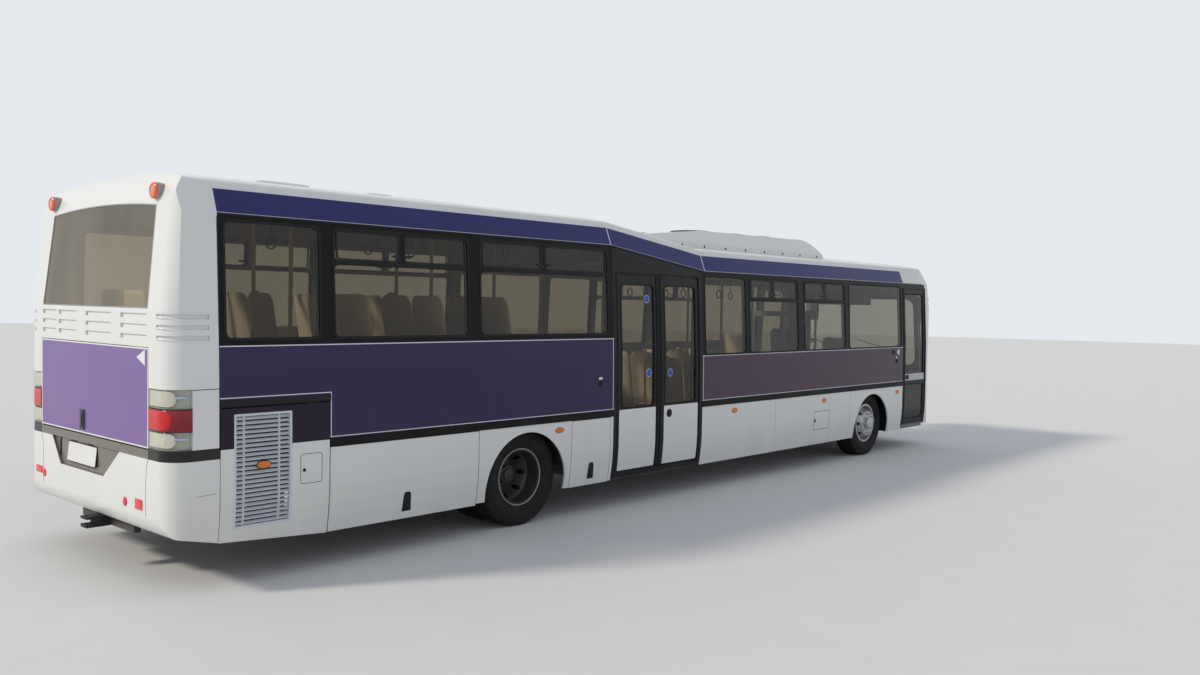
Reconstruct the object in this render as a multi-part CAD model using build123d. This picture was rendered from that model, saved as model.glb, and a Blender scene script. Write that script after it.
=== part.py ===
from build123d import *
import os
from math import cos, radians, sin, sqrt

# City bus with a low floor in front, a raised floor over the rear axle and two doors on its right.
#
# Millimetres, +X forward, +Y to the left, +Z up, z = 0 on the road. The pieces are drawn with x
# measured forward from the rear wall, and save() moves them so that x = 0 is the middle of the bus.

# Driving dimensions
BODY_LENGTH = 11900.0
HALF_WIDTH = 1269.0  # to the side panels
RUB_STRIP_PROUD = 6.0
TOW_REACH = 50.0  # towing jaw behind the rear wall
MIRROR_REACH = 240.0  # mirrors ahead of the front wall
MIDDLE = (BODY_LENGTH + MIRROR_REACH - TOW_REACH) / 2
WIDE, TALL = 1400.0, 3200.0  # past the sides and past the roof, for cutters

# Heights
SKIRT_Z = 290.0
LOW_FLOOR_Z = 345.0
HIGH_FLOOR_Z = 1000.0
FLOOR_T = 60.0
SKIRT_TOP_Z = 930.0
RUB_STRIP_TOP_Z = 995.0
REAR_BAND_Z = 2620.0  # foot of the roof band, rear
FRONT_BAND_Z = 2416.0  # foot of the roof band, front

# Side line: height, half width
SIDE_LINE = [(290, 1234), (400, 1251), (500, 1262), (620, 1269), (1000, 1269), (1490, 1262), (1700, 1254),
             (2416, 1216), (2620, 1205)]

# Roof, measured from the foot of its band
BAND_LEAN, BAND_RISE = 73.0, 190.0
SHOULDER_IN, SHOULDER_RISE = 135.0, 248.0
CROWN_RISE = 350.0

# Lengthways places
CORNER_X = 360.0  # front edge of the rear corner mouldings
STEP_REAR, STEP_FRONT = 4470.0, 6030.0  # ends of the sloping roof step
PORTAL = (4488.0, 5960.0)  # middle door portal
FRONT_DOOR = (10888.0, 11606.0)
ROOF_END = 11540.0
REAR_AXLE_X, FRONT_AXLE_X = 3320.0, 9950.0

# Wall thicknesses
WALL_T = 55.0
SHELL_T = 40.0  # end walls and roof
SKIRT_T = 18.0
FLAP_T = 30.0
PORTAL_T = 75.0
LINING = (1190.0, 1214.0)  # inner side lining of the low floor, half widths
GLASS_T, GLASS_IN = 6.0, 4.0
GAP = 6.0  # round doors and flaps

# Ends
REAR_CORNER_R, FRONT_CORNER_R = 170.0, 280.0
FRONT_BOW_R = 6000.0
REAR_BEND_Z = 1940.0  # the rear wall leans forward above this
REAR_LEAN_X, REAR_LEAN_Z = 81.0, 2712.0  # rear window's top edge
REAR_ARC = (180.0, 2885.0)  # x and z of a point on the arc from there to the roof
REAR_FOOT = (146.0, 520.0, 54.0)  # rounded foot: radius, z where it begins, degrees it turns
CORNER_FOOT_Z = 334.0  # foot of the corners at CORNER_X
FRONT_BEND_Z = 1000.0  # the front wall leans back above this
FRONT_LEAN_X, FRONT_LEAN_Z = 200.0, 2420.0
FRONT_BUMPER_Z = 330.0
OPEN_BELOW = 60.0  # how far an inner surface runs past the outer one's foot

# Side windows: x from, x to, z from, z to, transom height or None, upper post or None
REAR_WINDOWS = [
    (410, 1160, 1755, 2570, None, None),
    (1290, 2610, 1755, 2570, 2320, 1925),
    (2755, 4400, 1755, 2570, 2320, 3523),
]
FRONT_WINDOWS = [
    (6020, 6810, 1510, 2360, None, None),
    (6900, 7960, 1510, 2360, 2120, 7400),
    (8120, 9150, 1510, 2360, 2120, 8630),
    (9270, 10800, 1510, 2360, None, None),
]
LEFT_EXTRA_WINDOWS = [
    (4560, 5900, 1510, 2370, None, None),
    (10940, 11550, 1180, 2300, None, None),
]
PANE_R = 45.0
BAR = 34.0  # transoms and upper posts of the opening windows

# Doors
MIDDLE_DOOR = (4560.0, 5890.0)
DOOR_SPLIT, SPLIT_HALF = 5216.0, 4.0
DOOR_Z, DOOR_TOP_Z = 364.0, 2335.0
DOOR_T, DOOR_IN = 35.0, 5.0
DOOR_CLEARANCE = 8.0
DOOR_POST_Y, DOOR_POST_IN, DOOR_POST_R = 1180.0, 20.0, 16.0
DOOR_ARM = (14.0, 20.0)  # half length and half height of the arms to the post
DOOR_ARMS_Z = (600.0, 1300.0, 2100.0)
DOOR_BORDER = 50.0  # frame beside the panes
DOOR_PANE_Z = (1005.0, 2240.0)
ENTRY_PANES_Z = [(1030.0, 2265.0), (440.0, 940.0)]
MEETING_EDGES = (5125.0, 5307.0)  # panes' edges beside the leaves' meeting line

# Skirts under the rub strip: x from, x to
RIGHT_SKIRTS = [(2731, 3883), (4443, 4482), (5966, 7452), (7458, 9296), (9302, 10885)]
LEFT_SKIRTS = [(366, 1240), (1246, 2722), (2731, 3883), (3892, 5960), (5966, 7452), (7458, 9296),
               (9302, 10885), (10891, 11600)]
ARCHES = [(REAR_AXLE_X, 369.0, 497.0), (FRONT_AXLE_X, 360.0, 500.0)]  # x, z, radius

# Flaps: x from, x to
ENGINE_FLAP = (366.0, 1235.0, 270.0, 1266.0)  # and z from, z to
SWEEP = [(362.0, 330.0), (1242.0, 271.0)]  # its foot slopes down: x, z
STRIP_Z = (1274.0, 1326.0)  # hinge cover strip over the engine flap
BATTERY_FLAP = (1246.0, 2722.0, 275.0)  # and foot z
SERVICE_FLAP = (3892.0, 4437.0, 285.0)

# Louvre grille in the engine flap
GRILLE = (465.0, 920.0, 412.0, 1224.0)  # x from, x to, z from, z to
GRILLE_IN, GRILLE_T, GRILLE_BORDER = 2.0, 28.0, 18.0
LOUVRES = 24
LOUVRE_T, LOUVRE_DEPTH, LOUVRE_TILT = 4.0, 26.0, 38.0
GRILLE_BARS = (0.15, 0.81)  # upright supports, share of the width
BAR_HALF, BAR_IN, BAR_T = 7.0, 14.0, 14.0

# Rear wall
LID = (965.0, 990.0, 1690.0)  # half width, z from, z to
LID_HANDLE = (-10.0, 5.0, 105.0, 175.0, 1024.0, 1176.0)
REAR_LIGHT = [(939.0, 1957.0), (907.0, 2669.0)]  # rear window's half width and z, below and above
REAR_LIGHT_TOP, REAR_LIGHT_R = 2707.0, 15.0  # middle of its arched upper edge
LAMP_Z = (1000.0, 1412.0)
LAMP_Y, LAMP_X = 965.0, 165.0
VENT_ROWS = (1758.0, 1831.0, 1904.0)
VENT_HALF, VENT_DEPTH = 16.0, 14.0
VENT_COLUMNS = [(-930, -514), (-356, 95), (270, 613), (660, 940)]  # y from, y to
CORNER_VENT_Y, CORNER_VENT_X = 1075.0, 290.0  # where the vents round the corners begin and end
PLATE_RECESS = [(-505, 925), (745, 925), (575, 712), (-225, 712)]
RECESS_DEPTH = 22.0

# Front wall
SCREEN = (1120.0, 1080.0, 2285.0)  # half width, z from, z to
DISPLAY = (760.0, 2360.0, 2560.0)
SCREEN_R, DISPLAY_R = 80.0, 40.0
HEADLAMP = (790.0, 1110.0, 620.0, 800.0)  # y from, y to, z from, z to
HEADLAMP_R, HEADLAMP_IN = 60.0, 3.0

# Floors
STEP_X = 4385.0  # front face of the raised floor
STEP_EDGES = (3840.0, 4112.0)  # rear edges of the two steps
TREAD_T, RISER_T = 40.0, 20.0
AISLE_HALF = 320.0
BENCH_X = (1060.0, 1090.0)  # front wall of the engine bay, under the rear bench
BENCH_T = 30.0
PODIUM_Z, PODIUM_Y, PODIUM_END = 620.0, 100.0, 11560.0
SILL = (1225.0, 296.0, 352.0)  # half width, z from, z to

# Wheelhouses
HOUSE_HALF, HOUSE_T, HOUSE_TOP = 575.0, 12.0, 945.0
HOUSE_R = 180.0
HOUSE_INNER_Y = 550.0
REAR_HOUSE_R, REAR_HOUSE_Y = 484.0, (560.0, 1190.0)

# Chassis
RAIL_Y = (400.0, 460.0)
RAIL_Z = (720.0, 860.0)
CROSS_X = (1180.0, 2200.0, 2740.0, 3900.0, 4290.0)  # beams under the raised floor
CROSS_HALF = 30.0
TOW_BEAM = (125.0, 175.0, 310.0)  # behind the rear bumper: x from, x to, foot z
SHELF = (450.0, 940.0, 372.0, 400.0)  # under the radiator: x from, x to, z from, z to
RADIATOR_X, RADIATOR_TOP_Z = (480.0, 905.0), 1230.0
TANK_X, TANK_Y, TANK_Z = (1330.0, 2600.0), -870.0, 630.0
TANK_SIZE, TANK_R = (540.0, 460.0), 60.0

# Axles
SPINDLE_R, STUB_R, PIN_R = 35.0, 45.0, 18.0
FIT = 0.05  # running clearance on a radius
KINGPIN_Y = 870.0
EYE_R, EYE_Z = 48.0, (385.0, 510.0)
FORK_Z = (325.0, 572.0)
FORK_GAP = 5.0
ARM_REACH, ARM_Z = 200.0, (325.0, 350.0)  # steering arm behind the kingpin
TIE_ROD_Z, BALL_PIN_R = 245.0, 14.0
AXLE_TUBE_R, HOUSING_R, TUBE_END = 65.0, 190.0, 634.0
SPRING_BEAM = (400.0, 40.0, 400.0, 460.0)  # half length, half width, z from, z to
SPRING_X, SPRING_R = 320.0, 100.0
FRONT_BEAM_HALF = 50.0
# Front beam's outline on one side, from its eye down to the low middle: y, z
BEAM_TOP = [(KINGPIN_Y - 35, 395), (KINGPIN_Y - 35, 500), (KINGPIN_Y - 100, 490), (560, 268)]
BEAM_FOOT = (575, 190)
PILLAR_Y, PILLAR_R, BELLOWS_R, BELLOWS_Z = 665.0, 42.0, 68.0, 640.0

# Wheels
TYRE_R, TYRE_W = 447.5, 283.0
WHEEL_Y, INNER_WHEEL_Y = 1040.0, 730.0
RIM_R, RIM_W = 252.0, 116.0  # seat radius and half width
FLANGE_R, BARREL_IN = 262.0, 240.0
DISC_Y = 155.0  # mounting face from the tyre's middle
HAND_HOLES, HAND_HOLE_R, HAND_HOLE_AT = 8, 24.0, 198.0
# Disc's section: radius, y
DISC = [(BARREL_IN + 4, 30), (BARREL_IN + 4, 46), (225, 62), (170, DISC_Y), (84, DISC_Y), (84, DISC_Y - 12),
        (162, DISC_Y - 12), (214, 52), (232, 32)]

# Seats, forward of the hip point and above the floor: side outlines of a pan and of the back behind it
SEAT_BASE = 395.0
SEAT_PAN = [(-5, SEAT_BASE), (430, SEAT_BASE), (445, 425), (425, 455), (22, 451)]
SEAT_BACK = [(-55, SEAT_BASE), (-8, SEAT_BASE), (28, 470), (-85, 1070), (-120, 1085), (-150, 1065)]
SEAT_TOP, BACK_R = 1085.0, 85.0
SEAT_W, SEAT_GAP = 415.0, 24.0
SEAT_Y = 717.0  # middle of a pair
SEAT_BEAM = (-55.0, 200.0, 400.0, 45.0)  # x from, x to, half width, height
SEAT_LEG = (130.0, 190.0, 20.0)  # x from, x to, half width
# Rows of pairs: hip point x, floor z
SEAT_ROWS = [(1750, HIGH_FLOOR_Z), (2500, HIGH_FLOOR_Z), (3250, HIGH_FLOOR_Z), (6400, LOW_FLOOR_Z),
             (7150, LOW_FLOOR_Z), (7900, LOW_FLOOR_Z), (8650, LOW_FLOOR_Z)]
BENCH_SEAT_X, BENCH_SEATS = 620.0, (-2, -1, 0, 1, 2)
HOUSE_SEAT_X, HOUSE_SEAT_Y = 9700.0, 860.0

# Driver's place
DRIVER_X, DRIVER_Y = 10760.0, 640.0
DRIVER_SEAT_HALF = 240.0
DRIVER_BASE = (-50.0, 260.0, 120.0)  # x from, x to, half width
COLUMN_TOP = (11240.0, 1400.0)  # steering wheel's middle, x and z
COLUMN_TILT = 35.0
STEERING_R, RING_R, COLUMN_R, SHAFT_R = 225.0, 14.0, 38.0, 12.0
DESK = [(11420, PODIUM_Z), (11330, 1080), (11400, 1180), (11560, 1160), (11800, 1060), (11860, PODIUM_Z)]
DESK_Y = (60.0, 1150.0)
PARTITION_X, PARTITION_Y, PARTITION_TOP = 10570.0, (100.0, 1175.0), 1980.0
PARTITION_LIGHT = (180.0, 1100.0, 1330.0, 1900.0)  # y from, y to, z from, z to

# Handrail posts, one of each on either side unless stated: x, y, floor z, foot of the band over them
POSTS = [
    (1480, -300, HIGH_FLOOR_Z, REAR_BAND_Z), (1480, 300, HIGH_FLOOR_Z, REAR_BAND_Z),
    (2980, -270, HIGH_FLOOR_Z, REAR_BAND_Z), (2980, 270, HIGH_FLOOR_Z, REAR_BAND_Z),
    (4340, -360, HIGH_FLOOR_Z, REAR_BAND_Z), (4340, 360, HIGH_FLOOR_Z, REAR_BAND_Z),
    (6180, -420, LOW_FLOOR_Z, FRONT_BAND_Z), (6180, 420, LOW_FLOOR_Z, FRONT_BAND_Z),
    (7700, -270, LOW_FLOOR_Z, FRONT_BAND_Z), (7700, 270, LOW_FLOOR_Z, FRONT_BAND_Z),
    (9220, -270, LOW_FLOOR_Z, FRONT_BAND_Z), (9220, 270, LOW_FLOOR_Z, FRONT_BAND_Z),
    (10640, -500, LOW_FLOOR_Z, FRONT_BAND_Z), (10640, 60, LOW_FLOOR_Z, FRONT_BAND_Z),
]
POST_R = 17.0

# Roof pieces
UNIT_FOOT, UNIT_X = 2600.0, (5350.0, 9120.0)
UNIT_HALF, UNIT_TAPER, UNIT_EAVE, UNIT_TOP = 900.0, 60.0, 2760.0, 2930.0
# Hatches: x from, x to, half width, top
REAR_HATCHES = [(1150, 1650, 330, 3002), (2200, 2500, 330, 2996), (2520, 3300, 300, 2990)]
FRONT_HATCHES = [(9480, 10200, 330, 2790)]
HATCH_R = 20.0

# Lamps on the skirts: x, z; and on the rear corners
MARKERS = [(3720, 854), (6586, 852), (8615, 848), (10700, 850)]
MARKER_HALF, MARKER_T = (50.0, 22.0), 5.0
BEACON = (908.0, 2765.0, 55.0)  # y, z, radius
BEACON_X = (50.0, 240.0)

# Mirrors and towing points
MIRROR_HEAD, MIRROR_HEAD_R = (120.0, 200.0, 400.0), 30.0  # length, width, height
MIRROR_Y, MIRROR_Z = 960.0, 2040.0
MIRROR_ROOT, MIRROR_ARM_Z, MIRROR_ARM_R = (11560.0, 1060.0), 2330.0, 17.0
JAW_HALF, JAW_Z, JAW_MOUTH_Z = 55.0, (306.0, 388.0), (329.0, 369.0)
TOW_PIN_R, JAW_PIN_X = 15.0, -25.0
EYE_PLATE = (11840.0, 350.0, 380.0, 276.0, 345.0)  # front edge, y from, y to, z from, z to
EYE_PIN = (11810.0, 305.0)  # x, z


def block(x0, x1, y0, y1, z0, z1):
    """A box between two corners."""
    return Pos((x0 + x1) / 2, (y0 + y1) / 2, (z0 + z1) / 2) * Box(x1 - x0, y1 - y0, z1 - z0)


def side_block(side, x0, x1, near, far, z0, z1):
    """A box on one side of the bus, from a near to a far distance off the middle."""
    y0, y1 = sorted((side * near, side * far))
    return block(x0, x1, y0, y1, z0, z1)


def across(face, x0, x1):
    """A solid with an outline drawn as (y, z), from x0 to x1."""
    return extrude(Plane.YZ.offset(x0) * face, x1 - x0, dir=(1, 0, 0))


def along(face, y0, y1):
    """A solid with an outline drawn as (x, z), from y0 to y1."""
    return extrude(Plane.XZ.offset(-y1) * face, y1 - y0, dir=(0, -1, 0))


def polygon(*points):
    return make_face(Polyline(*points, close=True))


def rod(start, end, radius):
    """A round bar between two points."""
    path = Vector(*end) - Vector(*start)
    upright = (Align.CENTER, Align.CENTER, Align.MIN)
    return Plane(origin=start, z_dir=path) * Cylinder(radius, path.length, align=upright)


def turned(profile, x, y, z):
    """A solid of revolution about a line along Y; the profile is drawn as (radius, y)."""
    return Pos(x, y, z) * revolve(profile, Axis.Y)


def window(x0, x1, z0, z1, radius=PANE_R):
    """A rounded opening drawn as (x, z)."""
    return Pos((x0 + x1) / 2, (z0 + z1) / 2) * RectangleRounded(x1 - x0, z1 - z0, radius)


def across_x(half, z0, z1, radius, x0, x1):
    """A rounded prism along X, for openings in the end walls."""
    return across(Pos(0, (z0 + z1) / 2) * RectangleRounded(2 * half, z1 - z0, radius), x0, x1)


def half_width(z):
    """Half width of the body's side line at a height."""
    for (z0, y0), (z1, y1) in zip(SIDE_LINE, SIDE_LINE[1:]):
        if z <= z1:
            return y0 + (y1 - y0) * (z - z0) / (z1 - z0)
    return SIDE_LINE[-1][1]


def side_slab(side, x0, x1, z0, z1, depth, inset=0.0):
    """Part of a side wall that follows the side line; side is -1 on the right, +1 on the left."""
    levels = [z0] + [z for z, _ in SIDE_LINE if z0 < z < z1] + [z1]
    outer = [(side * (half_width(z) - inset), z) for z in levels]
    inner = [(side * (half_width(z) - inset - depth), z) for z in reversed(levels)]
    return across(polygon(*outer, *inner), x0, x1)


def roof_arch(band_z, inset):
    """Roof outline from the foot of the right band over the crown to the foot of the left band."""
    half = half_width(band_z) - inset
    foot = (half, band_z)
    top = (half - BAND_LEAN, band_z + BAND_RISE - 0.4 * inset)
    bend = (half - BAND_LEAN - 18, band_z + BAND_RISE + 40 - 0.8 * inset)
    shoulder = (half - SHOULDER_IN, band_z + SHOULDER_RISE - inset)
    crown = (0, band_z + CROWN_RISE - inset)
    right = [(-y, z) for y, z in (foot, top, bend, shoulder)]
    return [
        Line(right[0], right[1]),
        ThreePointArc(right[1], right[2], right[3]),
        ThreePointArc(right[3], crown, shoulder),
        ThreePointArc(shoulder, bend, top),
        Line(top, foot),
    ]


def ceiling_z(band_z, y):
    """Height of the roof's inner face, y from the middle."""
    half = half_width(band_z) - SHELL_T - SHOULDER_IN
    rise = CROWN_RISE - SHOULDER_RISE
    radius = (half * half + rise * rise) / (2 * rise)
    return band_z + CROWN_RISE - SHELL_T - radius + sqrt(radius * radius - y * y)


def body_section(band_z, inset):
    """Closed outline across the whole body, from the skirts over the roof."""
    foot_z = SKIRT_Z - OPEN_BELOW if inset else SKIRT_Z
    levels = [foot_z] + [z for z, _ in SIDE_LINE if SKIRT_Z < z < band_z] + [band_z]
    right = [(-(half_width(z) - inset), z) for z in levels]
    left = [(-y, z) for y, z in reversed(right)]
    return make_face(Curve() + roof_arch(band_z, inset) + [Polyline(*right), Polyline(*left, right[0])])


def roof_cap(band_z, inset):
    """Closed outline of the roof alone, flat below."""
    arch = roof_arch(band_z, inset)
    return make_face(Curve() + arch + [Line(arch[-1] @ 1, arch[0] @ 0)])


# The rear and front ends are the section along the body, cut by a plan and by a side profile.


def rear_foot(inset, share):
    """A point on the rear's rounded foot, share 0 where it begins and 1 at its lower end."""
    radius, z, turn = REAR_FOOT
    angle = radians(turn * share)
    return (radius - (radius - inset) * cos(angle), z - (radius - inset) * sin(angle))


def rear_profile(inset):
    roof_z = REAR_BAND_Z + CROWN_RISE + 15 - inset
    drop = OPEN_BELOW if inset else 0
    lean_top = (REAR_LEAN_X + inset, REAR_LEAN_Z)
    arc_x, arc_z = REAR_ARC
    foot, middle, start = [rear_foot(inset, share) for share in (1, 0.5, 0)]
    below = [(foot[0] + 15, CORNER_FOOT_Z - drop)] if inset else []
    face = [
        Polyline((STEP_REAR + 100, roof_z), (STEP_REAR + 100, SKIRT_Z - 10 - drop),
                 (CORNER_X, CORNER_FOOT_Z - drop), *below, foot),
        ThreePointArc(foot, middle, start),
        Polyline(start, (inset, REAR_BEND_Z), lean_top),
        ThreePointArc(lean_top, (arc_x + 0.7 * inset, arc_z - 0.7 * inset), (CORNER_X + 60, roof_z)),
        Line((CORNER_X + 60, roof_z), (STEP_REAR + 100, roof_z)),
    ]
    return make_face(Curve() + face)


def rear_plan(inset):
    """Rounded corners that stand upright below the rear window and lean with it above."""
    length = 2 * STEP_REAR
    outline = RectangleRounded(length, 2 * (HALF_WIDTH - inset), REAR_CORNER_R - inset)
    outline = Pos(inset + length / 2, 0) * outline
    lean = Vector(REAR_LEAN_X, 0, REAR_LEAN_Z - REAR_BEND_Z).normalized()
    leaning = extrude(Pos(0, 0, REAR_BEND_Z) * outline, (TALL - REAR_BEND_Z) / lean.Z, dir=lean)
    return extrude(outline, REAR_BEND_Z) + leaning


def front_profile(inset):
    roof_z = FRONT_BAND_Z + CROWN_RISE + 12 - inset
    front = BODY_LENGTH - inset
    drop = OPEN_BELOW if inset else 0
    lean_top = (front - FRONT_LEAN_X, FRONT_LEAN_Z)
    face = [
        Polyline((STEP_FRONT - 100, roof_z), (STEP_FRONT - 100, SKIRT_Z - 10 - drop),
                 (FRONT_DOOR[0], SKIRT_Z - 10 - drop), (FRONT_DOOR[1], FRONT_BUMPER_Z - drop),
                 (front - 20, FRONT_BUMPER_Z - drop), (front, 420 - drop), (front, FRONT_BEND_Z), lean_top),
        ThreePointArc(lean_top, (front - 290, 2620 - 0.7 * inset), (front - 560, roof_z)),
        Line((front - 560, roof_z), (STEP_FRONT - 100, roof_z)),
    ]
    return make_face(Curve() + face)


def front_plan(inset):
    """Rounded corners and a slight bow."""
    outline = RectangleRounded(BODY_LENGTH, 2 * (HALF_WIDTH - inset), FRONT_CORNER_R - inset)
    outline = Pos(BODY_LENGTH / 2 - inset, 0) * outline
    bow = Pos(BODY_LENGTH - FRONT_BOW_R, 0) * Circle(FRONT_BOW_R - inset)
    return extrude(outline & bow, TALL)


def rear_hull(inset):
    """The rear of the body as one solid, with its surface drawn in by inset."""
    section = across(body_section(REAR_BAND_Z, inset), 0, STEP_REAR)
    return section & rear_plan(inset) & along(rear_profile(inset), -WIDE, WIDE)


def front_hull(inset):
    """The front of the body as one solid, with its surface drawn in by inset."""
    section = across(body_section(FRONT_BAND_Z, inset), STEP_FRONT, BODY_LENGTH)
    return section & front_plan(inset) & along(front_profile(inset), -WIDE, WIDE)


def step_hull(inset):
    """The sloping roof step as one solid."""
    rear = Plane.YZ.offset(STEP_REAR) * roof_cap(REAR_BAND_Z, inset)
    front = Plane.YZ.offset(STEP_FRONT) * roof_cap(FRONT_BAND_Z, inset)
    return loft([rear, front], ruled=True)


REAR_BODY, FRONT_BODY, STEP_BODY = rear_hull(0), front_hull(0), step_hull(0)
REAR_SHELL = REAR_BODY - rear_hull(SHELL_T)
FRONT_SHELL = FRONT_BODY - front_hull(SHELL_T)
REAR_GLAZING = rear_hull(GLASS_IN) - rear_hull(GLASS_IN + GLASS_T)
FRONT_GLAZING = front_hull(GLASS_IN) - front_hull(GLASS_IN + GLASS_T)


# Side walls


def lights(windows):
    """The separate panes of a list of windows, as x from, x to, z from, z to."""
    panes = []
    for x0, x1, z0, z1, transom, post in windows:
        if transom is None:
            panes.append((x0, x1, z0, z1))
            continue
        panes.append((x0, x1, z0, transom - BAR / 2))
        panes.append((x0, post - BAR / 2, transom + BAR / 2, z1))
        panes.append((post + BAR / 2, x1, transom + BAR / 2, z1))
    return panes


def glaze(wall, side, panes):
    """Cut the panes out of a wall; gives the wall and the glass that fills it."""
    y0, y1 = sorted((side * 1100, side * WIDE))
    glass = []
    for x0, x1, z0, z1 in panes:
        cutter = along(window(x0, x1, z0, z1), y0, y1)
        glass.append(side_slab(side, x0, x1, z0, z1, GLASS_T, GLASS_IN) & cutter)
        wall = wall - cutter
    return wall, glass


def above_step():
    """What lies above the sloping foot of the band, to cut the walls below it."""
    return along(polygon((STEP_REAR, REAR_BAND_Z), (STEP_FRONT, FRONT_BAND_Z), (BODY_LENGTH, FRONT_BAND_Z),
                         (BODY_LENGTH, TALL), (STEP_REAR, TALL)), -WIDE, WIDE)


def side_wall(side, x0, x1, z0, z1):
    """Wall with its rub strip."""
    wall = side_slab(side, x0, x1, z0, z1, WALL_T)
    return wall + side_slab(side, x0, x1, SKIRT_TOP_Z, RUB_STRIP_TOP_Z, WALL_T, -RUB_STRIP_PROUD)


def lining(side, x0, x1):
    """Inner lining beside the low floor, open at the front wheel."""
    panel = side_block(side, x0, x1, *LINING, SKIRT_Z - 5, SKIRT_TOP_Z + 60)
    reach = HOUSE_HALF + HOUSE_T
    return panel - side_block(side, FRONT_AXLE_X - reach, FRONT_AXLE_X + reach, 1100, WIDE, 200, HOUSE_TOP)


def right_walls():
    rear = side_wall(-1, CORNER_X, PORTAL[0], SKIRT_TOP_Z, REAR_BAND_Z) - above_step()
    rear = rear - block(0, ENGINE_FLAP[1] + GAP, -WIDE, -1100, 0, STRIP_Z[0])
    rear, rear_glass = glaze(rear, -1, lights(REAR_WINDOWS))
    front = side_wall(-1, PORTAL[1], FRONT_DOOR[0], SKIRT_TOP_Z, FRONT_BAND_Z)
    front = front + lining(-1, PORTAL[1], FRONT_DOOR[0])
    front = front + side_slab(-1, *FRONT_DOOR, DOOR_TOP_Z + 10, FRONT_BAND_Z, WALL_T)
    front, front_glass = glaze(front - above_step(), -1, lights(FRONT_WINDOWS))
    portal = side_slab(-1, *PORTAL, 300, REAR_BAND_Z, PORTAL_T) - above_step()
    x0, x1 = MIDDLE_DOOR
    z0, z1 = DOOR_Z - DOOR_CLEARANCE, DOOR_TOP_Z + DOOR_CLEARANCE
    portal = portal - block(x0 - GAP - 1, x1 + GAP + 1, -WIDE, -1100, z0, z1)
    portal = portal - block(*PORTAL, -LINING[0], -1100, 200, LOW_FLOOR_Z)
    return rear, portal, front, rear_glass + front_glass


def left_wall():
    wall = side_wall(1, CORNER_X, FRONT_DOOR[1], SKIRT_TOP_Z, REAR_BAND_Z) - above_step()
    wall = wall + lining(1, STEP_X, FRONT_DOOR[1])
    return glaze(wall, 1, lights(REAR_WINDOWS + LEFT_EXTRA_WINDOWS + FRONT_WINDOWS))


def below_sweep():
    """What lies under the sloping foot beside the engine bay."""
    (x0, z0), (x1, z1) = SWEEP
    return along(polygon((x0, z0), (x0, 0), (x1, 0), (x1, z1)), -WIDE, WIDE)


def skirt(side, x0, x1):
    panel = side_slab(side, x0, x1, SKIRT_Z, SKIRT_TOP_Z, SKIRT_T) - below_sweep()
    for x, z, radius in ARCHES:
        if x0 < x < x1:
            panel = panel - along(Pos(x, z) * Circle(radius), -WIDE, WIDE)
    return panel


def skirts():
    right = [skirt(-1, x0, x1) for x0, x1 in RIGHT_SKIRTS]
    return right + [skirt(1, x0, x1) for x0, x1 in LEFT_SKIRTS]


# Doors and flaps


def door_leaf(x0, x1, hinge_x, openings):
    """A leaf on its turning post; gives the leaf and its glass."""
    leaf = side_slab(-1, x0, x1, DOOR_Z, DOOR_TOP_Z, DOOR_T, DOOR_IN)
    glass = []
    for opening in openings:
        cutter = along(window(*opening), -WIDE, -1050)
        leaf = leaf - cutter
        glass.append(side_slab(-1, *opening, GLASS_T, DOOR_IN + 8) & cutter)
    leaf = leaf + rod((hinge_x, -DOOR_POST_Y, DOOR_Z), (hinge_x, -DOOR_POST_Y, DOOR_TOP_Z), DOOR_POST_R)
    half_x, half_z = DOOR_ARM
    for z in DOOR_ARMS_Z:
        reach = half_width(z) - DOOR_IN - DOOR_T + 4
        leaf = leaf + block(hinge_x - half_x, hinge_x + half_x, -reach, -DOOR_POST_Y, z - half_z, z + half_z)
    return leaf, glass


def doors():
    """Leaves by name, each with its glass."""
    x0, x1 = MIDDLE_DOOR
    rear_panes = [(x0 + DOOR_BORDER, MEETING_EDGES[0], *DOOR_PANE_Z)]
    front_panes = [(MEETING_EDGES[1], x1 - DOOR_BORDER, *DOOR_PANE_Z)]
    x2, x3 = FRONT_DOOR[0] + 7, FRONT_DOOR[1] - 12
    entry_panes = [(x2 + DOOR_BORDER, x3 - DOOR_BORDER, z0, z1) for z0, z1 in ENTRY_PANES_Z]
    return {
        "middle_door_rear": door_leaf(x0, DOOR_SPLIT - SPLIT_HALF, x0 + DOOR_POST_IN, rear_panes),
        "middle_door_front": door_leaf(DOOR_SPLIT + SPLIT_HALF, x1, x1 - DOOR_POST_IN, front_panes),
        "front_door": door_leaf(x2, x3, x2 + DOOR_POST_IN, entry_panes),
    }


def lower_flap(x0, x1, foot_z):
    return side_slab(-1, x0, x1, foot_z, SKIRT_TOP_Z - GAP - 1, SKIRT_T + 4)


def engine_flap():
    x0, x1, z0, z1 = ENGINE_FLAP
    gx0, gx1, gz0, gz1 = GRILLE
    flap = side_slab(-1, x0, x1, z0, z1, FLAP_T) - below_sweep()
    return flap - block(gx0, gx1, -WIDE, -1100, gz0, gz1)


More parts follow.
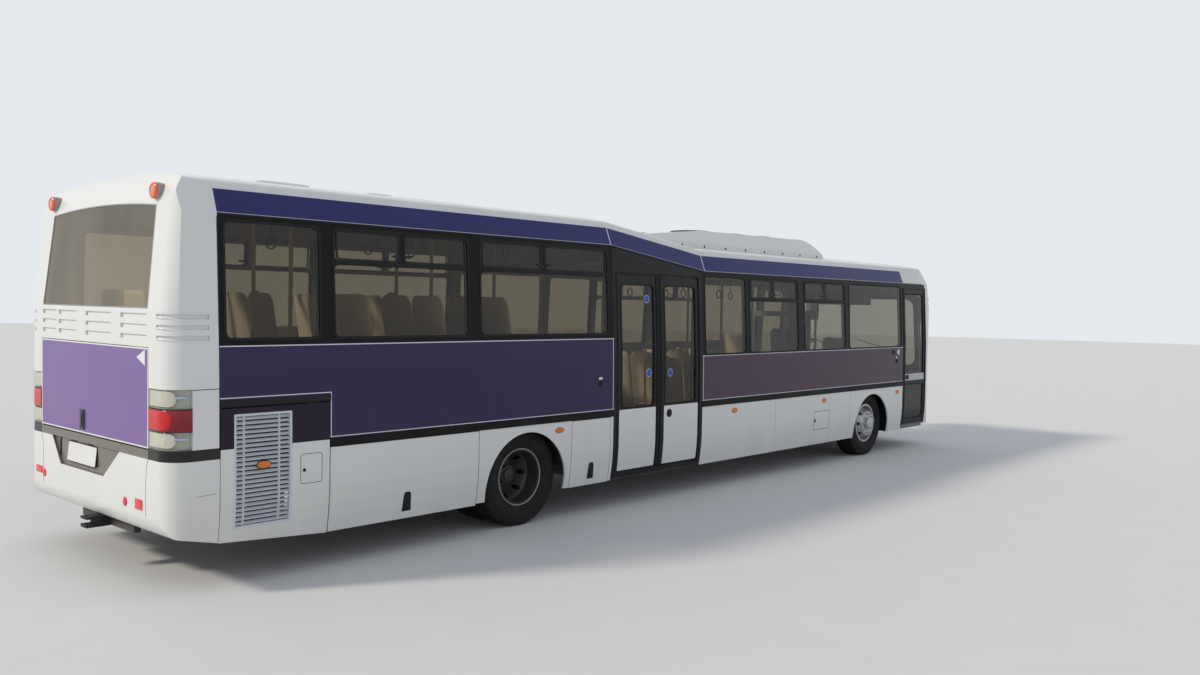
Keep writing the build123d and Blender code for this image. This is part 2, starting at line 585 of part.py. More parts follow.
def louvre_grille():
    """Border, tilted blades that follow the side line, and two upright bars behind them."""
    x0, x1, z0, z1 = GRILLE
    x2, x3, z2, z3 = x0 + GRILLE_BORDER, x1 - GRILLE_BORDER, z0 + GRILLE_BORDER, z1 - GRILLE_BORDER
    grille = side_slab(-1, x0, x1, z0, z1, GRILLE_T, GRILLE_IN) - block(x2, x3, -WIDE, -1100, z2, z3)
    pitch = (z3 - z2) / LOUVRES
    blade = Rot(LOUVRE_TILT, 0, 0) * Box(x3 - x2 + 6, LOUVRE_DEPTH, LOUVRE_T)
    for row in range(LOUVRES):
        z = z2 + pitch * (row + 0.5)
        middle_y = GRILLE_IN + GRILLE_T / 2 - half_width(z)
        grille = grille + Pos((x0 + x1) / 2, middle_y, z) * blade
    for share in GRILLE_BARS:
        x = x2 + share * (x3 - x2)
        grille = grille + side_slab(-1, x - BAR_HALF, x + BAR_HALF, z2 - 2, z3 + 2, BAR_T, BAR_IN)
    return grille


# Rear end


def lamp_boxes():
    """Where the rear lamps go round the corners."""
    return [side_block(side, -100, LAMP_X, LAMP_Y, WIDE, *LAMP_Z) for side in (-1, 1)]


def rear_vents():
    """Slots under the rear window, and longer ones round the corners that follow their surface."""
    slots = []
    corner_vents = []
    for z in VENT_ROWS:
        z0, z1 = z - VENT_HALF, z + VENT_HALF
        slots += [block(-20, VENT_DEPTH, y0, y1, z0, z1) for y0, y1 in VENT_COLUMNS]
        for side in (-1, 1):
            corner_vents.append(side_block(side, -20, CORNER_VENT_X, CORNER_VENT_Y, WIDE, z0, z1))
    core = rear_hull(VENT_DEPTH)
    return slots + [vent - core for vent in corner_vents]


def rear_light():
    """Where the rear window goes: narrower above, with an arched upper edge."""
    (low, z0), (high, z1) = REAR_LIGHT
    sides = Polyline((-high, z1), (-low, z0), (low, z0), (high, z1))
    arch = ThreePointArc((high, z1), (0, REAR_LIGHT_TOP), (-high, z1))
    outline = make_face(Curve() + [sides, arch])
    return across(fillet(outline.vertices(), REAR_LIGHT_R), -100, CORNER_X - 60)


def rear_wall():
    wall = REAR_SHELL & block(-10, CORNER_X, -WIDE, WIDE, SKIRT_TOP_Z + 55, TALL)
    wall = wall - rear_light() - block(-100, 200, -LID[0], LID[0], LID[1] - 20, LID[2])
    for cutter in lamp_boxes() + rear_vents():
        wall = wall - cutter
    return wall


def rear_lamps():
    return [REAR_SHELL & box for box in lamp_boxes()]


def rear_bumper():
    bumper = REAR_SHELL & block(-10, CORNER_X, -WIDE, WIDE, 300, SKIRT_TOP_Z + 55)
    return bumper - across(polygon(*PLATE_RECESS), -20, RECESS_DEPTH)


def rear_window():
    return REAR_GLAZING & rear_light()


def engine_lid():
    half, z0, z1 = LID
    lid = (REAR_BODY - rear_hull(FLAP_T)) & block(-10, 100, GAP - half, half - GAP, z0 + GAP, z1 - GAP)
    return lid + block(*LID_HANDLE)


# Front end


def headlamp_prism(side):
    y0, y1, z0, z1 = HEADLAMP
    face = Pos(side * (y0 + y1) / 2, (z0 + z1) / 2) * RectangleRounded(y1 - y0, z1 - z0, HEADLAMP_R)
    return across(face, FRONT_DOOR[1] + 20, BODY_LENGTH + 10)


def front_lights():
    """Where the windscreen and the display window go."""
    x0, x1 = FRONT_DOOR[1] + 20, BODY_LENGTH + 10
    return [across_x(*SCREEN, SCREEN_R, x0, x1), across_x(*DISPLAY, DISPLAY_R, x0, x1)]


def front_wall():
    region = block(FRONT_DOOR[1], BODY_LENGTH + 10, -WIDE, WIDE, SKIRT_TOP_Z, TALL)
    region = region + block(ROOF_END, FRONT_DOOR[1] + 5, -WIDE, WIDE, FRONT_BAND_Z, TALL)
    wall = FRONT_SHELL & region
    for opening in front_lights():
        wall = wall - opening
    return wall


def front_bumper():
    bumper = FRONT_SHELL & block(FRONT_DOOR[1], BODY_LENGTH + 10, -WIDE, WIDE, 300, SKIRT_TOP_Z)
    for side in (-1, 1):
        bumper = bumper - headlamp_prism(side)
    return bumper


def headlamps():
    shell = front_hull(HEADLAMP_IN) - front_hull(SHELL_T)
    return [shell & headlamp_prism(side) for side in (-1, 1)]


# Floors and wheelhouses


def low_floor():
    half = LINING[0]
    floor = block(STEP_X, FRONT_DOOR[1], -half, half, LOW_FLOOR_Z - FLOOR_T, LOW_FLOOR_Z)
    house = HOUSE_HALF + HOUSE_T
    x0, x1, inner = FRONT_AXLE_X - house, FRONT_AXLE_X + house, HOUSE_INNER_Y - HOUSE_T
    for side in (-1, 1):
        floor = floor - side_block(side, x0, x1, inner, WIDE, 200, 400)
    sill_y, sill_z0, sill_z1 = SILL
    sill = block(*FRONT_DOOR, -sill_y, -half, sill_z0, sill_z1)
    podium = block(x1, PODIUM_END, PODIUM_Y, half, LOW_FLOOR_Z, PODIUM_Z)
    return floor + sill + podium


def raised_floor():
    """Floor over the rear axle, with two steps down to the low floor and the rear bench's box."""
    low, high = HIGH_FLOOR_Z - FLOOR_T, HIGH_FLOOR_Z
    foot = LOW_FLOOR_Z - FLOOR_T
    half = HALF_WIDTH - WALL_T
    floor = block(BENCH_X[0], STEP_X, -half, half, low, high)
    floor = floor - block(STEP_EDGES[0], STEP_X + 10, -AISLE_HALF, AISLE_HALF, low - 10, high + 10)
    riser = (HIGH_FLOOR_Z - LOW_FLOOR_Z) / 3
    for index, x in enumerate(STEP_EDGES):
        top = HIGH_FLOOR_Z - riser * (index + 1)
        end = STEP_EDGES[1] if index == 0 else STEP_X
        floor = floor + block(x, end, -AISLE_HALF, AISLE_HALF, top - TREAD_T, top)
        floor = floor + block(x - RISER_T, x, -AISLE_HALF, AISLE_HALF, top - TREAD_T, top + riser)
    floor = floor + block(STEP_X - RISER_T, STEP_X, -AISLE_HALF, AISLE_HALF, foot, LOW_FLOOR_Z + riser)
    for side in (-1, 1):
        cheek = side_block(side, STEP_EDGES[0] - RISER_T, STEP_X, AISLE_HALF, AISLE_HALF + 20, foot, low)
        front = side_block(side, STEP_X - RISER_T, STEP_X, AISLE_HALF, LINING[0], foot, low)
        floor = floor + cheek + front
    bench_top = HIGH_FLOOR_Z + SEAT_BASE
    inner = half_width(bench_top) - WALL_T
    floor = floor + block(*BENCH_X, -inner, inner, low, bench_top)
    bench = block(SHELL_T, BENCH_X[0] + 5, -inner, inner, bench_top - BENCH_T, bench_top)
    return floor + (bench & rear_hull(SHELL_T))


def wheelhouses():
    """Front boxes open below and outwards, rear half rings under the raised floor."""
    parts = []
    foot = LOW_FLOOR_Z - FLOOR_T
    outer_x = HOUSE_HALF + HOUSE_T
    outer = window(FRONT_AXLE_X - outer_x, FRONT_AXLE_X + outer_x, foot - 200, HOUSE_TOP, HOUSE_R)
    inner = window(FRONT_AXLE_X - HOUSE_HALF, FRONT_AXLE_X + HOUSE_HALF, foot - 220, HOUSE_TOP - HOUSE_T,
                   HOUSE_R - 10)
    ring = Circle(HIGH_FLOOR_Z - FLOOR_T - TYRE_R) - Circle(REAR_HOUSE_R)
    for side in (-1, 1):
        near, far = sorted((side * (HOUSE_INNER_Y - HOUSE_T), side * LINING[1]))
        house = along(outer, near, far)
        near, far = sorted((side * HOUSE_INNER_Y, side * WIDE))
        house = house - along(inner, near, far)
        parts.append(house - block(FRONT_AXLE_X - 1000, FRONT_AXLE_X + 1000, -WIDE, WIDE, 0, foot))
        near, far = sorted(side * y for y in REAR_HOUSE_Y)
        arch = along(Pos(REAR_AXLE_X, TYRE_R) * ring, near, far)
        parts.append(arch - block(REAR_AXLE_X - 900, REAR_AXLE_X + 900, -WIDE, WIDE, -100, TYRE_R + 60))
    return parts


# Chassis


def chassis():
    """Two rails with a rear beam, feet down to the low floor and cross beams under the raised one."""
    x0, x1, foot_z = TOW_BEAM
    frame = block(x0, x1, -RAIL_Y[1], RAIL_Y[1], foot_z, RAIL_Z[1])
    for side in (-1, 1):
        frame = frame + side_block(side, SHELL_T, STEP_X - 20, *RAIL_Y, *RAIL_Z)
        frame = frame + side_block(side, STEP_X - 60, STEP_X - 20, *RAIL_Y, LOW_FLOOR_Z - FLOOR_T, RAIL_Z[0])
    half = HALF_WIDTH - WALL_T
    for x in CROSS_X:
        x0, x1 = x - CROSS_HALF, x + CROSS_HALF
        frame = frame + block(x0, x1, -half, half, RAIL_Z[1], HIGH_FLOOR_Z - FLOOR_T)
        if x < STEP_EDGES[0]:
            frame = frame + block(x0, x1, -RAIL_Y[0], RAIL_Y[0], RAIL_Z[0] + 40, RAIL_Z[1])
    steps_half = AISLE_HALF + 22
    return frame - block(STEP_EDGES[0] - 30, STEP_X, -steps_half, steps_half, 300, HIGH_FLOOR_Z)


def engine():
    """Engine with its gearbox, as plain blocks."""
    return block(430, 1040, -RAIL_Y[0], RAIL_Y[0], 460, 1290) + block(1040, 1700, -250, 250, 430, 700)


def radiator():
    """Core with its side tanks, on a shelf that hangs from the chassis rail."""
    x0, x1, z0, z1 = SHELF
    rail_y = RAIL_Y[1]
    core = block(*RADIATOR_X, -1180, -1100, z1, RADIATOR_TOP_Z)
    for x in (RADIATOR_X[0], RADIATOR_X[1] - 40):
        core = core + block(x, x + 40, -1190, -1085, z1, RADIATOR_TOP_Z)
    hanger = block(660, 720, -rail_y - 30, -rail_y, z0, RAIL_Z[1])
    return core + block(x0, x1, -1190, -rail_y, z0, z1) + hanger


def fuel_tank():
    return across(Pos(TANK_Y, TANK_Z) * RectangleRounded(*TANK_SIZE, TANK_R), *TANK_X)


# Axles


def rear_axle():
    """Drive axle with its housing, stubs for the wheels, drive shaft, spring beams and air springs."""
    half = [(0, TUBE_END), (AXLE_TUBE_R, TUBE_END), (AXLE_TUBE_R, 300), (HOUSING_R, 90)]
    profile = half + [(radius, -y) for radius, y in reversed(half)]
    axle = turned(polygon(*profile), REAR_AXLE_X, 0, TYRE_R)
    axle = axle + rod((REAR_AXLE_X, -900, TYRE_R), (REAR_AXLE_X, 900, TYRE_R), STUB_R)
    axle = axle + rod((1706, 0, 520), (REAR_AXLE_X - 120, 0, TYRE_R), 42)
    half_x, half_y, z0, z1 = SPRING_BEAM
    for side in (-1, 1):
        y = side * (RAIL_Y[0] + RAIL_Y[1]) / 2
        axle = axle + block(REAR_AXLE_X - half_x, REAR_AXLE_X + half_x, y - half_y, y + half_y, z0, z1)
        for x in (REAR_AXLE_X - SPRING_X, REAR_AXLE_X + SPRING_X):
            axle = axle + rod((x, y, z1 - 10), (x, y, RAIL_Z[0]), SPRING_R)
    return axle


def front_axle():
    """Cranked beam with an eye for each kingpin and a spring pillar inside each wheelhouse."""
    right = [(-y, z) for y, z in BEAM_TOP]
    outline = right + BEAM_TOP[::-1] + [BEAM_FOOT, (-BEAM_FOOT[0], BEAM_FOOT[1])]
    x = FRONT_AXLE_X
    beam = across(polygon(*outline), x - FRONT_BEAM_HALF, x + FRONT_BEAM_HALF)
    for side in (-1, 1):
        y = side * KINGPIN_Y
        beam = beam - rod((x, y, 300), (x, y, 600), EYE_R - 10)
        eye = rod((x, y, EYE_Z[0]), (x, y, EYE_Z[1]), EYE_R)
        beam = beam + (eye - rod((x, y, 300), (x, y, 600), PIN_R + FIT))
        y = side * PILLAR_Y
        beam = beam + rod((x, y, 300), (x, y, BELLOWS_Z), PILLAR_R)
        beam = beam + rod((x, y, BELLOWS_Z), (x, y, HOUSE_TOP - HOUSE_T), BELLOWS_R)
    return beam


def knuckle(side):
    """Fork round the beam's eye with its kingpin, wheel spindle and steering arm."""
    x, y = FRONT_AXLE_X, side * KINGPIN_Y
    low, high = FORK_Z
    arm_low, arm_high = ARM_Z
    part = rod((x, y, low), (x, y, high), PIN_R)
    for z0, z1 in ((low, EYE_Z[0] - FORK_GAP), (EYE_Z[1] + FORK_GAP, high)):
        part = part + rod((x, y, z0), (x, y, z1), EYE_R)
        part = part + side_block(side, x - EYE_R, x + EYE_R, KINGPIN_Y, KINGPIN_Y + 80, z0, z1)
    part = part + side_block(side, x - EYE_R, x + EYE_R, KINGPIN_Y + 56, KINGPIN_Y + 80, low, high)
    part = part + rod((x, side * (KINGPIN_Y + 60), TYRE_R), (x, side * (WHEEL_Y + 110), TYRE_R), SPINDLE_R)
    part = part + block(x - ARM_REACH, x, y - 20, y + 20, arm_low, arm_high)
    part = part + rod((x - ARM_REACH, y, arm_low), (x - ARM_REACH, y, arm_high), 20)
    return part + rod((x - ARM_REACH, y, TIE_ROD_Z - 20), (x - ARM_REACH, y, arm_low + 5), BALL_PIN_R)


def tie_rod():
    """Bar between the steering arms, with an eye on each arm's pin."""
    x = FRONT_AXLE_X - ARM_REACH
    bar = rod((x, -KINGPIN_Y, TIE_ROD_Z), (x, KINGPIN_Y, TIE_ROD_Z), 14)
    for side in (-1, 1):
        y = side * KINGPIN_Y
        bar = bar + rod((x, y, TIE_ROD_Z - 16), (x, y, TIE_ROD_Z + 16), 24)
        bar = bar - rod((x, y, 100), (x, y, 400), BALL_PIN_R + FIT)
    return bar


# Wheels


def tyre():
    """Section from bead to bead over a nearly flat tread, turned about the axle."""
    half = TYRE_W / 2
    seat = RIM_W - 8
    sides = []
    for way in (-1, 1):
        shoulder, edge = (425, way * (half - 16)), (TYRE_R - 2, way * (half - 42))
        sides += [
            Line((RIM_R, way * seat), (FLANGE_R, way * seat)),
            ThreePointArc((FLANGE_R, way * seat), (345, way * half), shoulder),
            ThreePointArc(shoulder, (441, way * (half - 24)), edge),
            Line(edge, (TYRE_R, way * (half - 70))),
        ]
    tread = Line((TYRE_R, 70 - half), (TYRE_R, half - 70))
    bore = Line((RIM_R, -seat), (RIM_R, seat))
    return revolve(make_face(Curve() + sides + [tread, bore]), Axis.Y)


def rim():
    """Disc wheel with its mounting face on the +Y side; turned round for the other side."""
    barrel = [(FLANGE_R, -RIM_W), (FLANGE_R, 8 - RIM_W), (RIM_R, 8 - RIM_W), (RIM_R, RIM_W - 8),
              (FLANGE_R, RIM_W - 8), (FLANGE_R, RIM_W), (BARREL_IN, RIM_W), (BARREL_IN, -RIM_W)]
    wheel = revolve(polygon(*barrel), Axis.Y) + revolve(polygon(*DISC), Axis.Y)
    for index in range(HAND_HOLES):
        angle = radians(360 / HAND_HOLES * index)
        x, z = HAND_HOLE_AT * cos(angle), HAND_HOLE_AT * sin(angle)
        wheel = wheel - rod((x, 20, z), (x, 200, z), HAND_HOLE_R)
    return wheel


def front_wheel(side):
    """Rim with its hub and brake disc, bored for the spindle."""
    bore = SPINDLE_R + FIT
    hub = [(bore, -75), (190, -75), (190, -35), (84, -30), (84, 120), (110, 126), (110, DISC_Y - 12),
           (84, DISC_Y - 12), (84, DISC_Y + 20), (60, DISC_Y + 26), (0, DISC_Y + 26), (0, 112), (bore, 112)]
    wheel = rim() + revolve(polygon(*hub), Axis.Y)
    if side < 0:
        wheel = Rot(0, 0, 180) * wheel
    return Pos(FRONT_AXLE_X, side * WHEEL_Y, TYRE_R) * wheel


def rear_wheel(side):
    """Two rims back to back on one hub with its brake drum, bored for the axle's stub."""
    outer = Pos(0, WHEEL_Y, 0) * (Rot(0, 0, 180) * rim())
    inner = Pos(0, INNER_WHEEL_Y, 0) * rim()
    face = WHEEL_Y - DISC_Y
    bore = STUB_R + FIT
    hub = [(bore, 640), (200, 640), (200, 850), (120, 860), (120, face - 12), (84, face - 12), (84, 985),
           (60, 1000), (0, 1000), (0, 905), (bore, 905)]
    wheel = outer + inner + revolve(polygon(*hub), Axis.Y)
    if side < 0:
        wheel = Rot(0, 0, 180) * wheel
    return Pos(REAR_AXLE_X, 0, TYRE_R) * wheel


# Seats


def seat_shells():
    """Pan and back of one seat; the back leans and has round upper corners."""
    pan = along(polygon(*SEAT_PAN), -SEAT_W / 2, SEAT_W / 2)
    back = along(polygon(*SEAT_BACK), -SEAT_W / 2, SEAT_W / 2)
    height = 2 * SEAT_TOP
    outline = Pos(0, SEAT_TOP - height / 2) * RectangleRounded(SEAT_W, height, BACK_R)
    return [pan, back & across(outline, -200, 100)]


def seat_places():
    """Hip point of every passenger: x, y, floor z."""
    offset = (SEAT_W + SEAT_GAP) / 2
    places = []
    for x, floor_z in SEAT_ROWS:
        places += [(x, side * SEAT_Y + way * offset, floor_z) for side in (-1, 1) for way in (-1, 1)]
    places += [(BENCH_SEAT_X, index * (SEAT_W + SEAT_GAP), HIGH_FLOOR_Z) for index in BENCH_SEATS]
    return places + [(HOUSE_SEAT_X, side * HOUSE_SEAT_Y, HOUSE_TOP - SEAT_BASE) for side in (-1, 1)]


def passenger_seats():
    shells = seat_shells()
    return [Pos(*place) * shell for place in seat_places() for shell in shells]


def seat_stand(x, y, floor_z):
    """Beam that carries a pair of seats, on one leg."""
    x0, x1, half, height = SEAT_BEAM
    top = floor_z + SEAT_BASE
    beam = block(x + x0, x + x1, y - half, y + half, top - height, top)
    x0, x1, half = SEAT_LEG
    return beam + block(x + x0, x + x1, y - half, y + half, floor_z, top - height)


# Driver's place


def driver_seat():
    half = DRIVER_SEAT_HALF
    seat = along(polygon(*SEAT_PAN), -half, half) + along(polygon(*SEAT_BACK), -half, half)
    x0, x1, half = DRIVER_BASE
    return Pos(DRIVER_X, DRIVER_Y, PODIUM_Z) * (seat + block(x0, x1, -half, half, 0, SEAT_BASE))


def column_axis():
    return Vector(-sin(radians(COLUMN_TILT)), 0, cos(radians(COLUMN_TILT)))


def column_top():
    return Vector(COLUMN_TOP[0], DRIVER_Y, COLUMN_TOP[1])


def dashboard():
    """Desk across the front, with the steering column."""
    desk = along(polygon(*DESK), *DESK_Y)
    desk = desk + block(11640, DESK[-1][0], -DESK_Y[1], DESK_Y[0], LOW_FLOOR_Z, 1040)
    desk = desk + block(PODIUM_END, DESK[-1][0], *DESK_Y, LOW_FLOOR_Z, PODIUM_Z)
    desk = desk & front_hull(SHELL_T + 1)
    top, axis = column_top(), column_axis()
    desk = desk + rod(tuple(top - axis * 420), tuple(top - axis * 30), COLUMN_R)
    return desk + rod(tuple(top - axis * 40), tuple(top + axis * 8), SHAFT_R)


def steering_wheel():
    hub = Pos(0, 0, -8) * (Cylinder(45, 34) - Cylinder(SHAFT_R + FIT, 50))
    wheel = Torus(STEERING_R, RING_R) + hub
    for angle in (90, 210, 330):
        end = (STEERING_R * cos(radians(angle)), STEERING_R * sin(radians(angle)), 0)
        start = (0.18 * end[0], 0.18 * end[1], 0)
        wheel = wheel + rod(start, end, 9)
    return Plane(origin=tuple(column_top()), z_dir=column_axis()) * wheel


def driver_partition():
    x0 = FRONT_AXLE_X + HOUSE_HALF + HOUSE_T + 4
    wall = block(x0, PARTITION_X, *PARTITION_Y, PODIUM_Z, PARTITION_TOP)
    return wall - block(x0 - 10, PARTITION_X + 10, *PARTITION_LIGHT)


def handrails():
    rails = []
    for x, y, floor_z, band_z in POSTS:
        rails.append(rod((x, y, floor_z), (x, y, ceiling_z(band_z, abs(y) + POST_R)), POST_R))
    return rails


# Roof pieces


def roof_unit():
    """Air conditioner standing on the front roof, ramped behind and rounded in front."""
    rear, front = UNIT_X
    face = [
        Polyline((front, UNIT_FOOT), (rear, UNIT_FOOT), (rear, 2800), (6420, 2905), (8450, 2925)),
        ThreePointArc((8450, 2925), (8860, 2885), (front, 2740)),
        Line((front, 2740), (front, UNIT_FOOT)),
    ]
    body = along(make_face(Curve() + face), -UNIT_HALF, UNIT_HALF)
    right = [(-UNIT_HALF, UNIT_FOOT), (-UNIT_HALF, UNIT_EAVE), (UNIT_TAPER - UNIT_HALF, UNIT_TOP)]
    left = [(-y, z) for y, z in reversed(right)]
    return (body & across(polygon(*right, *left), rear - 100, front + 100)) - FRONT_BODY - STEP_BODY


def roof_hatches():
    hatches = []
    for table, body in ((REAR_HATCHES, REAR_BODY), (FRONT_HATCHES, FRONT_BODY)):
        for x0, x1, half, top in table:
            lid = across(Pos(0, top - 100) * RectangleRounded(2 * half, 200, HATCH_R), x0, x1)
            hatches.append(lid - body)
    return hatches


# Lamps, mirrors and towing points


def marker_lamps():
    """Oblong lamps on the skirts and round beacons at the upper rear corners."""
    lamps = []
    half_x, half_z = MARKER_HALF
    beacon_y, beacon_z, radius = BEACON
    for side in (-1, 1):
        for x, z in MARKERS:
            y0, y1 = sorted((side * half_width(z), side * (half_width(z) + MARKER_T)))
            lamps.append(along(window(x - half_x, x + half_x, z - half_z, z + half_z, half_z - 1), y0, y1))
        ends = [(x, side * beacon_y, beacon_z) for x in BEACON_X]
        lamps.append(rod(*ends, radius) - REAR_BODY)
    return lamps


def mirrors():
    """Heads hung from arms ahead of the windscreen's upper corners."""
    x = BODY_LENGTH + MIRROR_REACH - MIRROR_HEAD[0] / 2
    head = Box(*MIRROR_HEAD)
    head = fillet(head.edges(), MIRROR_HEAD_R)
    parts = []
    for side in (-1, 1):
        root = (MIRROR_ROOT[0], side * MIRROR_ROOT[1], MIRROR_ARM_Z)
        knee = (x, side * MIRROR_Y, MIRROR_ARM_Z)
        arm = rod(root, knee, MIRROR_ARM_R) + rod(knee, (x, side * MIRROR_Y, MIRROR_Z), MIRROR_ARM_R)
        arm = arm + Pos(*knee) * Sphere(MIRROR_ARM_R)
        parts.append((arm - FRONT_BODY) + Pos(x, side * MIRROR_Y, MIRROR_Z) * head)
    return parts


def tow_couplings():
    """Towing jaw under the rear bumper and a towing eye under the front one."""
    jaw = block(-TOW_REACH, TOW_BEAM[0], -JAW_HALF, JAW_HALF, *JAW_Z)
    jaw = jaw - block(-TOW_REACH - 5, 20, -JAW_HALF - 5, JAW_HALF + 5, *JAW_MOUTH_Z)
    jaw = jaw - rod((JAW_PIN_X, 0, 200), (JAW_PIN_X, 0, 500), TOW_PIN_R)
    x, z = EYE_PIN
    eye = block(FRONT_DOOR[1], *EYE_PLATE) - rod((x, 300, z), (x, 400, z), TOW_PIN_R)
    return [jaw, eye]


def save(name, shape):
    """Write one piece, moved from the rear wall's frame to the middle of the bus."""
    parts = shape if isinstance(shape, (list, tuple)) else [shape]
    solids = [Pos(-MIDDLE, 0, 0) * solid for part in parts for solid in part.solids()]
    whole = solids[0] if len(solids) == 1 else Compound(children=solids)
    export_step(whole, f"parts/{name}.step")


def main():
    os.makedirs("parts", exist_ok=True)
    wall_rear, portal, wall_front, right_glass = right_walls()
    wall_left, left_glass = left_wall()
    save("wall_right_rear", wall_rear)
    save("door_portal", portal)
    save("wall_right_front", wall_front)
    save("wall_left", wall_left)
    save("side_glass", right_glass + left_glass)
    save("skirts", skirts())
    save("roof_rear", REAR_SHELL & block(CORNER_X, STEP_REAR + 5, -WIDE, WIDE, REAR_BAND_Z, TALL))
    save("roof_step", STEP_BODY - step_hull(SHELL_T))
    save("roof_front", FRONT_SHELL & block(STEP_FRONT - 5, ROOF_END, -WIDE, WIDE, FRONT_BAND_Z, TALL))
    save("rear_wall", rear_wall())
    save("rear_bumper", rear_bumper())
    save("rear_window", rear_window())
    save("rear_lamps", rear_lamps())
    save("engine_lid", engine_lid())
    save("engine_flap", engine_flap())
    save("louvre_grille", louvre_grille())
    save("battery_flap", lower_flap(*BATTERY_FLAP))
    save("service_flap", lower_flap(*SERVICE_FLAP))
    save("front_wall", front_wall())
    save("front_bumper", front_bumper())
    save("headlamps", headlamps())
    save("windscreen", [FRONT_GLAZING & opening for opening in front_lights()])
    for name, (leaf, glass) in doors().items():
        save(name, leaf)
        save(f"{name}_glass", glass)
    save("floor_low", low_floor())
    save("floor_raised", raised_floor())
    save("wheelhouses", wheelhouses())
    save("chassis_frame", chassis())
    save("engine_block", engine())
    save("radiator", radiator())
    save("fuel_tank", fuel_tank())
    save("rear_axle", rear_axle())
    save("front_axle", front_axle())
    save("tie_rod", tie_rod())
    rubber = tyre()
    for side, name in ((-1, "right"), (1, "left")):
        save(f"knuckle_{name}", knuckle(side))
        save(f"front_tyre_{name}", Pos(FRONT_AXLE_X, side * WHEEL_Y, TYRE_R) * rubber)
        save(f"front_rim_{name}", front_wheel(side))
        twins = [Pos(REAR_AXLE_X, side * y, TYRE_R) * rubber for y in (INNER_WHEEL_Y, WHEEL_Y)]
        save(f"rear_tyres_{name}", twins)
        save(f"rear_rims_{name}", rear_wheel(side))
    save("passenger_seats", passenger_seats())
    save("seat_stands", [seat_stand(x, side * SEAT_Y, z) for x, z in SEAT_ROWS for side in (-1, 1)])
    save("driver_seat", driver_seat())
    save("dashboard", dashboard())
    save("steering_wheel", steering_wheel())
    save("driver_partition", driver_partition())
    save("handrails", handrails())
    save("roof_unit", roof_unit())
    save("roof_hatches", roof_hatches())
    save("marker_lamps", marker_lamps())
    save("mirrors", mirrors())
    save("tow_couplings", tow_couplings())


main()
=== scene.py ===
import bpy
import bmesh
import math
from mathutils import Matrix, Vector


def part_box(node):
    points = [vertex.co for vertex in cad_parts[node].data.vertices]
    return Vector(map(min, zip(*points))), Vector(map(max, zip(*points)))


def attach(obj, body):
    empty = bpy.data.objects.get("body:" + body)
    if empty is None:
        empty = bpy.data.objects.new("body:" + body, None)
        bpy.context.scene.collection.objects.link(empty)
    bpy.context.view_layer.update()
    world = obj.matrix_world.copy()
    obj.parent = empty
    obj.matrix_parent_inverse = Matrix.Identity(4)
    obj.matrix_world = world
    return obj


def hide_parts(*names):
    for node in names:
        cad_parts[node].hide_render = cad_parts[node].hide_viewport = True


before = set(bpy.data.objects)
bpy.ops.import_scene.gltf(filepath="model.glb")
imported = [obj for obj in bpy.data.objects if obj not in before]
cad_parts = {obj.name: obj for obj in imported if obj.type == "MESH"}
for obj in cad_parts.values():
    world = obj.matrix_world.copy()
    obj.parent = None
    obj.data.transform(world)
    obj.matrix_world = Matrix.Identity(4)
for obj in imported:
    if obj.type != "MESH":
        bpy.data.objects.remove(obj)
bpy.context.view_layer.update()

# Metres. Places along the bus are measured forward from the rear wall, as in the CAD source.
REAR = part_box("rear_wall")[0].x
RIGHT, LEFT = -1, 1
SIDES = {RIGHT: "right", LEFT: "left"}

# Side line: height, half width
SIDE_LINE = [(0.29, 1.234), (0.4, 1.251), (0.5, 1.262), (0.62, 1.269), (1.0, 1.269), (1.49, 1.262),
             (1.7, 1.254), (2.416, 1.216), (2.62, 1.205)]
WIDEST = 1.269
BODY_LENGTH = 11.9
CORNER_X = 0.36
STEP_REAR, STEP_FRONT = 4.47, 6.03
PORTAL = (4.488, 5.96)
REAR_BAND_Z, FRONT_BAND_Z, BAND_RISE, BAND_FRONT_X = 2.62, 2.416, 0.186, 10.9
SKIRT_TOP_Z, RUB_STRIP_TOP_Z = 0.93, 0.995
FILM_FOOT_Z, REAR_FILM_TOP_Z, FRONT_FILM_TOP_Z = 1.0, 1.70, 1.49
FLAP_FILM_FOOT_Z = 0.983
LAMP_Y, LAMP_X, CORNER_R = 0.965, 0.165, 0.17
REAR_AXLE_X, FRONT_AXLE_X = 3.32, 9.95
WHEEL_Y, INNER_WHEEL_Y, TYRE_R, TYRE_W = 1.04, 0.73, 0.4475, 0.283


def at(x, y, z):
    """A point of the bus, x forward from the rear wall."""
    return Vector((REAR + x, y, z))


def spread(low, high, count):
    """Evenly spaced values from low to high."""
    return [low + (high - low) * k / (count - 1) for k in range(count)]


def turns(count):
    """Angles evenly round a circle."""
    return [2 * math.pi * k / count for k in range(count)]


def half_width(z):
    """Half the body's width at a height."""
    for (z0, y0), (z1, y1) in zip(SIDE_LINE, SIDE_LINE[1:]):
        if z <= z1:
            return y0 + (y1 - y0) * (z - z0) / (z1 - z0)
    return SIDE_LINE[-1][1]


def on_side(side, x, z, out=0.0):
    """A point on the side line, or a little outside it."""
    return at(x, side * (half_width(z) + out), z)


def side_place(side, back=0.0):
    """Outlines drawn as (x, z) on the side line, or back inside it; depth goes outwards."""
    return lambda x, z, depth: on_side(side, x, z, depth - back)


def side_heights(low, high):
    """Heights between which a piece on the side runs straight."""
    return [low] + [z for z, _ in SIDE_LINE if low < z < high] + [high]


# Finishes


